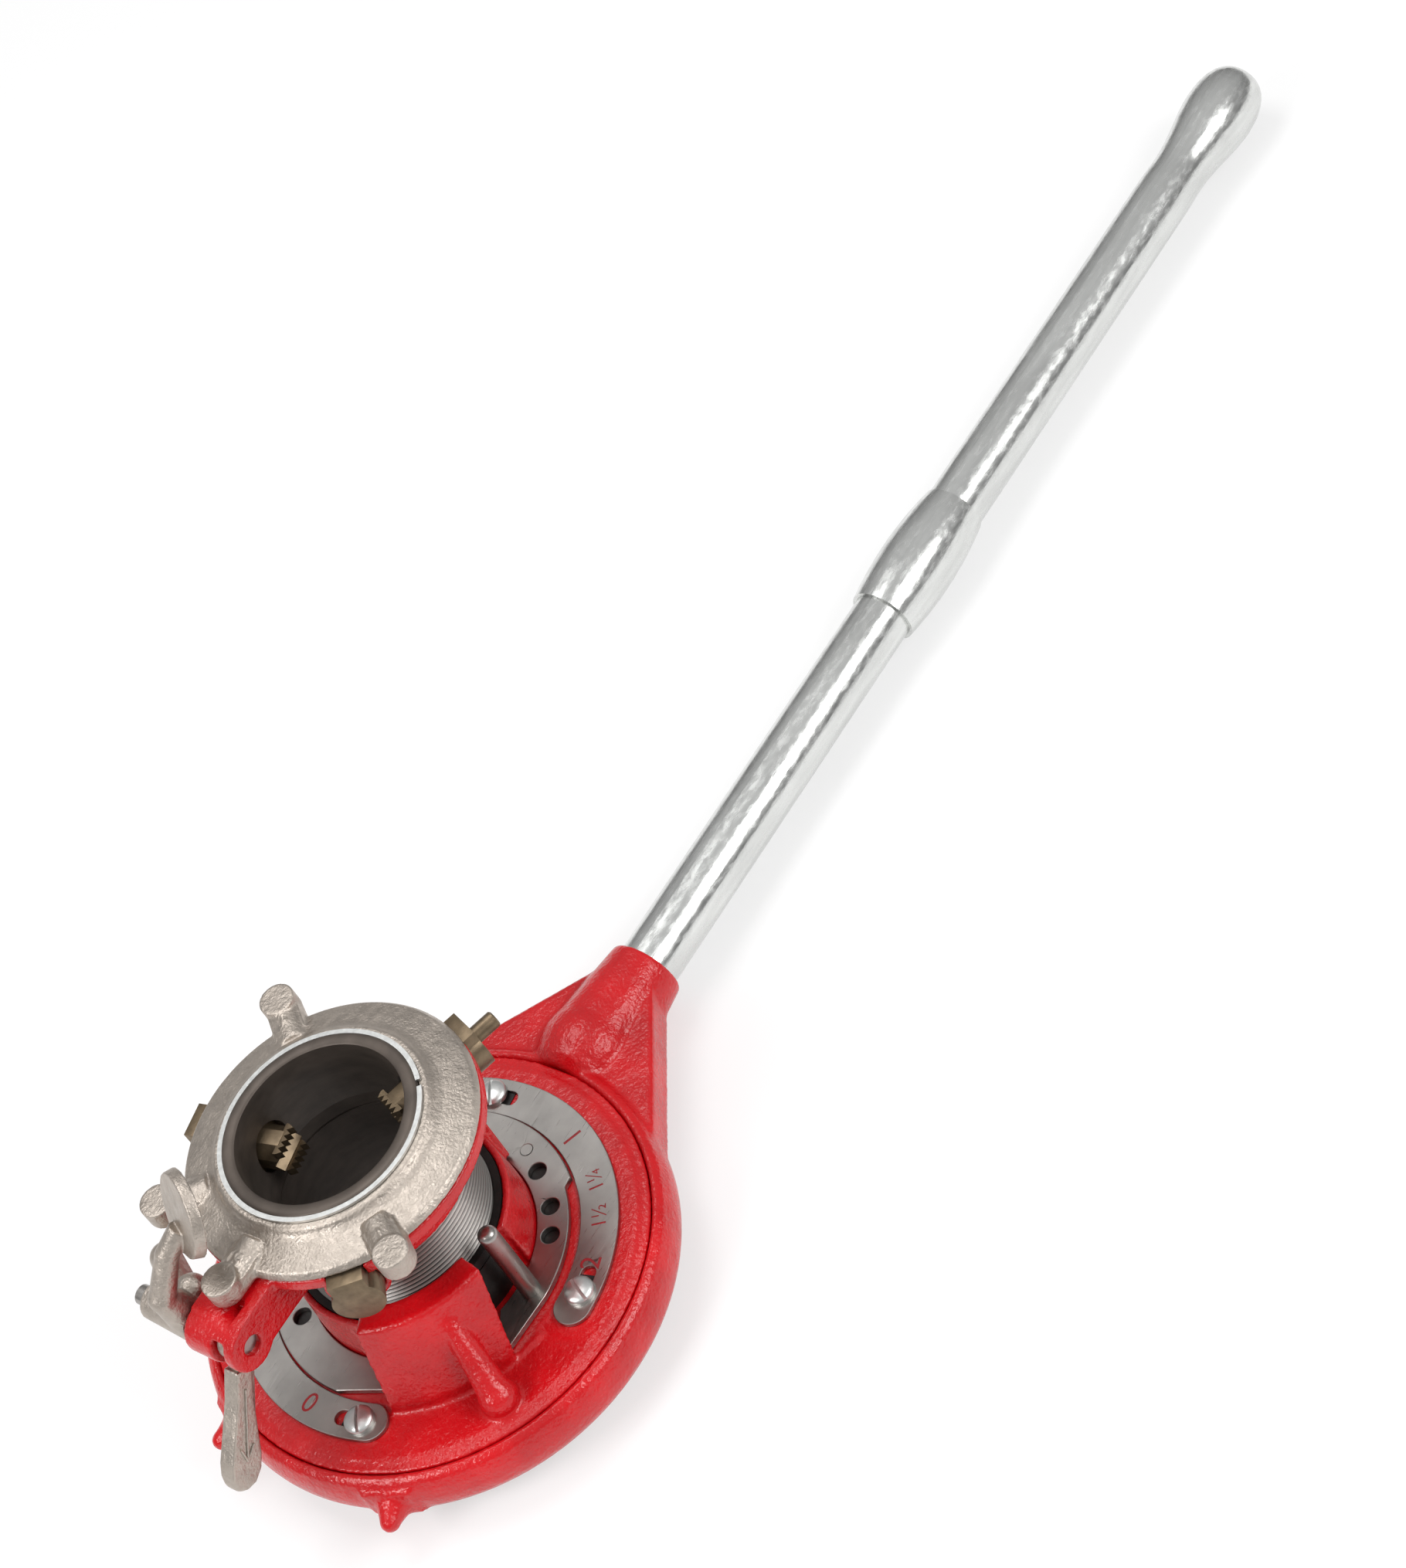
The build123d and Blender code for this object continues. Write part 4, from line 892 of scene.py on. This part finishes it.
class MakeJaws(bpy.types.Operator):
    """Machine the three jaws and the adjusting screw"""
    bl_idname = "threader.jaws"
    bl_label = "Jaws"

    def execute(self, context):
        sizes = context.scene.threader_sizes
        steps = repeat_tree()
        tooth_outline = [(26.8, -1.35), (26.8, 1.35), (25.6, 1.35), (23.2, 0), (25.6, -1.35)]
        for number, angle in ((1, 102), (2, 222), (3, 342)):
            place = radial_frame(angle, JAW_HEIGHT)
            jaw = copy_of(f"jaw_{number}", f"jaw_{number}_machined")
            cut(jaw, block("tip_room", (10, -20, -20), (37, 20, 20), place))
            # The tip is an eight-sided bar, with a groove across its end and teeth on each side of it.
            corner = 7.7 / math.cos(math.pi / 8)
            outline = [polar(corner, 22.5 + 45 * n) for n in range(8)]
            lay = place @ Matrix.Rotation(QUARTER, 4, "Y")
            cut(jaw, prism("tip", outline, 26, 40, lay), "UNION")
            cut(jaw, prism("tip_groove", [(25, -3.8), (29, -0.6), (29, 0.6), (25, 3.8)], -12, 12,
                           place @ Matrix.Rotation(QUARTER, 4, "X")))
            ease_edges(jaw, sizes.edge * 1.4, 28)
            for bottom, top in ((3.9, 7.5), (-7.5, -3.9)):
                tooth = prism("jaw_tooth", tooth_outline, bottom, top)
                tooth.data.transform(Matrix.Translation((0, -0.0054, 0)))
                run_tree(tooth, steps, {
                    "Count": 5, "Step": (0, 0.0027, 0), "Material": bpy.data.materials["black_oxide_steel"]})
                tooth.data.transform(place)
                merge(jaw, tooth)
            done(jaw, "black_oxide_steel", f"jaw_{number}", "black_oxide", f"jaw_{number}")
        repaint("black_oxide_steel", "jaw_adjusting_screw")
        return {"FINISHED"}


class MakeThumbLever(bpy.types.Operator):
    """Cast the thumb lever"""
    bl_idname = "threader.thumb_lever"
    bl_label = "Thumb lever"

    def execute(self, context):
        sizes = context.scene.threader_sizes
        lever = copy_of("clamp_shaft", "thumb_lever_casting")
        lever.data.clear_geometry()
        facing = Vector((-0.82, 0.39, 0.42)).normalized()
        middle = Vector((-58.1, 9.6, 153.7))
        merge(
            lever,
            rod("lever_hub", (-79, 13.5, 108), (-79, 38, 108), 8.6, 7.4),
            rod("lever_body", (-79, 18, 108), (-63, 44, 109), 8.4, 6.0),
            ball("lever_end", (-63, 44, 109), 6.2),
            ball("lever_cheek", (-71, 21, 113), 6.4),
            rod("lever_root", (-79, 19, 110), (-82, 19, 126), 8.0, 5.2),
            ball("lever_bend", (-82, 19, 126), 5.4),
            rod("lever_neck", (-82, 19, 126), (-70.5, 16, 141), 5.2, 4.6),
            ball("lever_knee", (-70.5, 16, 141), 4.7),
            rod("lever_tongue", (-70.5, 16, 141), (-62, 11.5, 149), 4.6, 4.2),
            rod("lever_paddle", middle - facing * 2.3, middle + facing * 2.3, 17.2, 16.4, 96),
        )
        skin(lever, sizes.fine_voxel, 8)
        done(lever, "nickel_plated_casting", "thumb_lever", "nickel_plate", "thumb_lever")
        return {"FINISHED"}


class MakeClampArm(bpy.types.Operator):
    """Cast the clamp arm with its raised arrow"""
    bl_idname = "threader.clamp_arm"
    bl_label = "Clamp arm"

    def execute(self, context):
        sizes = context.scene.threader_sizes
        arm = copy_of("clamp_arm", "clamp_arm_casting")
        eye, end = Vector((-79, -5.5, 108)), Vector((-112, -5.5, 62.6))
        along = (end - eye).normalized()
        across = along.cross(Vector((0, 1, 0)))
        # The grip is slim at the eye and swells towards a rounded end.
        outline = [
            (0, -3.9), (14, -4.3), (31, -6.6), (38, -7.6), (44, -7.2), (49, -4.4), (50.5, 0),
            (49, 4.4), (44, 7.2), (38, 7.6), (31, 6.6), (14, 4.3), (0, 3.9),
        ]
        lay = Matrix((along, across, along.cross(across))).transposed().to_4x4()
        grip = prism("grip", outline, -3.6, 3.6, Matrix.Translation((eye + along * 12) * MM) @ lay)
        merge(arm, grip)
        skin(arm, sizes.fine_voxel, 14)
        # A raised arrow shows which way the arm swings.
        face = Vector((0, -3.75, 0))
        tail, tip = eye + along * 20 + face, eye + along * 50 + face
        merge(
            arm, rod("arrow_shaft", tail, tip, 0.55, steps=12),
            rod("arrow_barb", tip, tip - along * 6 + across * 3.2, 0.55, steps=12),
            rod("arrow_barb", tip, tip - along * 6 - across * 3.2, 0.55, steps=12))
        done(arm, "nickel_plated_casting", "clamp_arm", "nickel_plate", "clamp_arm")
        return {"FINISHED"}


class MakeStage(bpy.types.Operator):
    """Lay the pale floor and set the lights and the camera"""
    bl_idname = "threader.stage"
    bl_label = "Stage"

    def execute(self, context):
        scene = context.scene
        floor = block("floor", (-40000, -40000, -20), (40000, 40000, -0.2))
        material = bpy.data.materials.new("matt_white_floor")
        material.use_nodes = True
        tree = material.node_tree
        shader = tree.nodes["Principled BSDF"]
        shader.inputs["Base Color"].default_value = (*linear("#F4F4F4"), 1)
        shader.inputs["Roughness"].default_value = 0.9
        # Seen straight or in a reflection, the floor is lifted to plain white; it still takes the shadow.
        path = add_node(tree, "ShaderNodeLightPath")
        seen = add_node(
            tree, "ShaderNodeMath",
            links={0: path.outputs["Is Camera Ray"], 1: path.outputs["Is Glossy Ray"]}, operation="MAXIMUM")
        lift = add_node(tree, "ShaderNodeMath", {1: 0.55}, {0: seen.outputs[0]}, operation="MULTIPLY")
        white = add_node(tree, "ShaderNodeEmission", {"Color": (1, 1, 1, 1), "Strength": 1.0})
        mix = add_node(
            tree, "ShaderNodeMixShader",
            links={0: lift.outputs[0], 1: shader.outputs[0], 2: white.outputs[0]})
        tree.links.new(mix.outputs[0], tree.nodes["Material Output"].inputs["Surface"])
        floor.data.materials.append(material)

        world = bpy.data.worlds.new("soft_room")
        scene.world = world
        world.use_nodes = True
        tree = world.node_tree
        # A pale room that is brighter overhead than at the horizon.
        way = add_node(tree, "ShaderNodeTexCoord").outputs["Generated"]
        rise = add_node(tree, "ShaderNodeSeparateXYZ", links={"Vector": way}).outputs["Z"]
        level = add_node(
            tree, "ShaderNodeMapRange",
            {"From Min": 0.0, "From Max": 0.9, "To Min": 0.2, "To Max": 0.62}, {"Value": rise})
        background = tree.nodes["Background"]
        background.inputs["Color"].default_value = (1, 1, 1, 1)
        tree.links.new(level.outputs["Result"], background.inputs["Strength"])

        for name, place, aim, size, power in (
            ("key_light", (-1500, 300, 1500), (0, 0, 60), (0.9, 0.6), 20),
            ("fill_light", (700, -1500, 1300), (200, 0, 40), (1.2, 0.8), 21),
            ("top_light", (200, 500, 2000), (200, 0, 40), (1.0, 1.0), 14),
        ):
            lamp = bpy.data.lights.new(name, "AREA")
            lamp.shape = "RECTANGLE"
            lamp.size, lamp.size_y = size
            lamp.energy = power
            light = collection_add(bpy.data.objects.new(name, lamp))
            light.location = Vector(place) * MM
            gaze = (Vector(aim) - Vector(place)).to_track_quat("-Z", "Y")
            light.rotation_euler = gaze.to_euler()

        eye = bpy.data.cameras.new("view_camera")
        eye.lens = 88.67
        eye.clip_end = 50
        camera = collection_add(bpy.data.objects.new("view_camera", eye))
        right = Vector((0.5211, -0.7734, -0.3608)).normalized()
        back = Vector((-0.3683, -0.5851, 0.7224)).normalized()
        above = back.cross(right).normalized()
        turn = Matrix((right, above, back)).transposed().to_4x4()
        camera.matrix_world = Matrix.Translation(Vector((-352.0, -906.7, 1177.2)) * MM) @ turn
        scene.camera = camera
        scene.view_settings.view_transform = "Standard"
        return {"FINISHED"}


STEPS = (
    MakeFinishes, MakeRatchetRing, MakeDieHead, MakeScalePlate, MakeScrews, MakeSelector, MakeHandle,
    MakeLeadScrew, MakeWorkholder, MakeCamPlate, MakeJaws, MakeThumbLever, MakeClampArm, MakeStage,
)


class ThreaderPanel(bpy.types.Panel):
    """The threader's pieces, sizes and colours"""
    bl_idname = "VIEW3D_PT_threader"
    bl_label = "Pipe threader"
    bl_space_type = "VIEW_3D"
    bl_region_type = "UI"
    bl_category = "Threader"

    def draw(self, context):
        for group in (context.scene.threader_sizes, context.scene.threader_colours):
            for name in group.__annotations__:
                self.layout.prop(group, name)
        for step in STEPS:
            self.layout.operator(step.bl_idname)


CLASSES = (ThreaderColours, ThreaderSizes, *STEPS, ThreaderPanel)


def register():
    for item in CLASSES:
        bpy.utils.register_class(item)
    bpy.types.Scene.threader_colours = bpy.props.PointerProperty(type=ThreaderColours)
    bpy.types.Scene.threader_sizes = bpy.props.PointerProperty(type=ThreaderSizes)


def unregister():
    del bpy.types.Scene.threader_sizes
    del bpy.types.Scene.threader_colours
    for item in reversed(CLASSES):
        bpy.utils.unregister_class(item)


def main():
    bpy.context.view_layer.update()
    register()
    for step in STEPS:
        group, name = step.bl_idname.split(".")
        getattr(getattr(bpy.ops, group), name)()


if __name__ == "__main__":
    main()
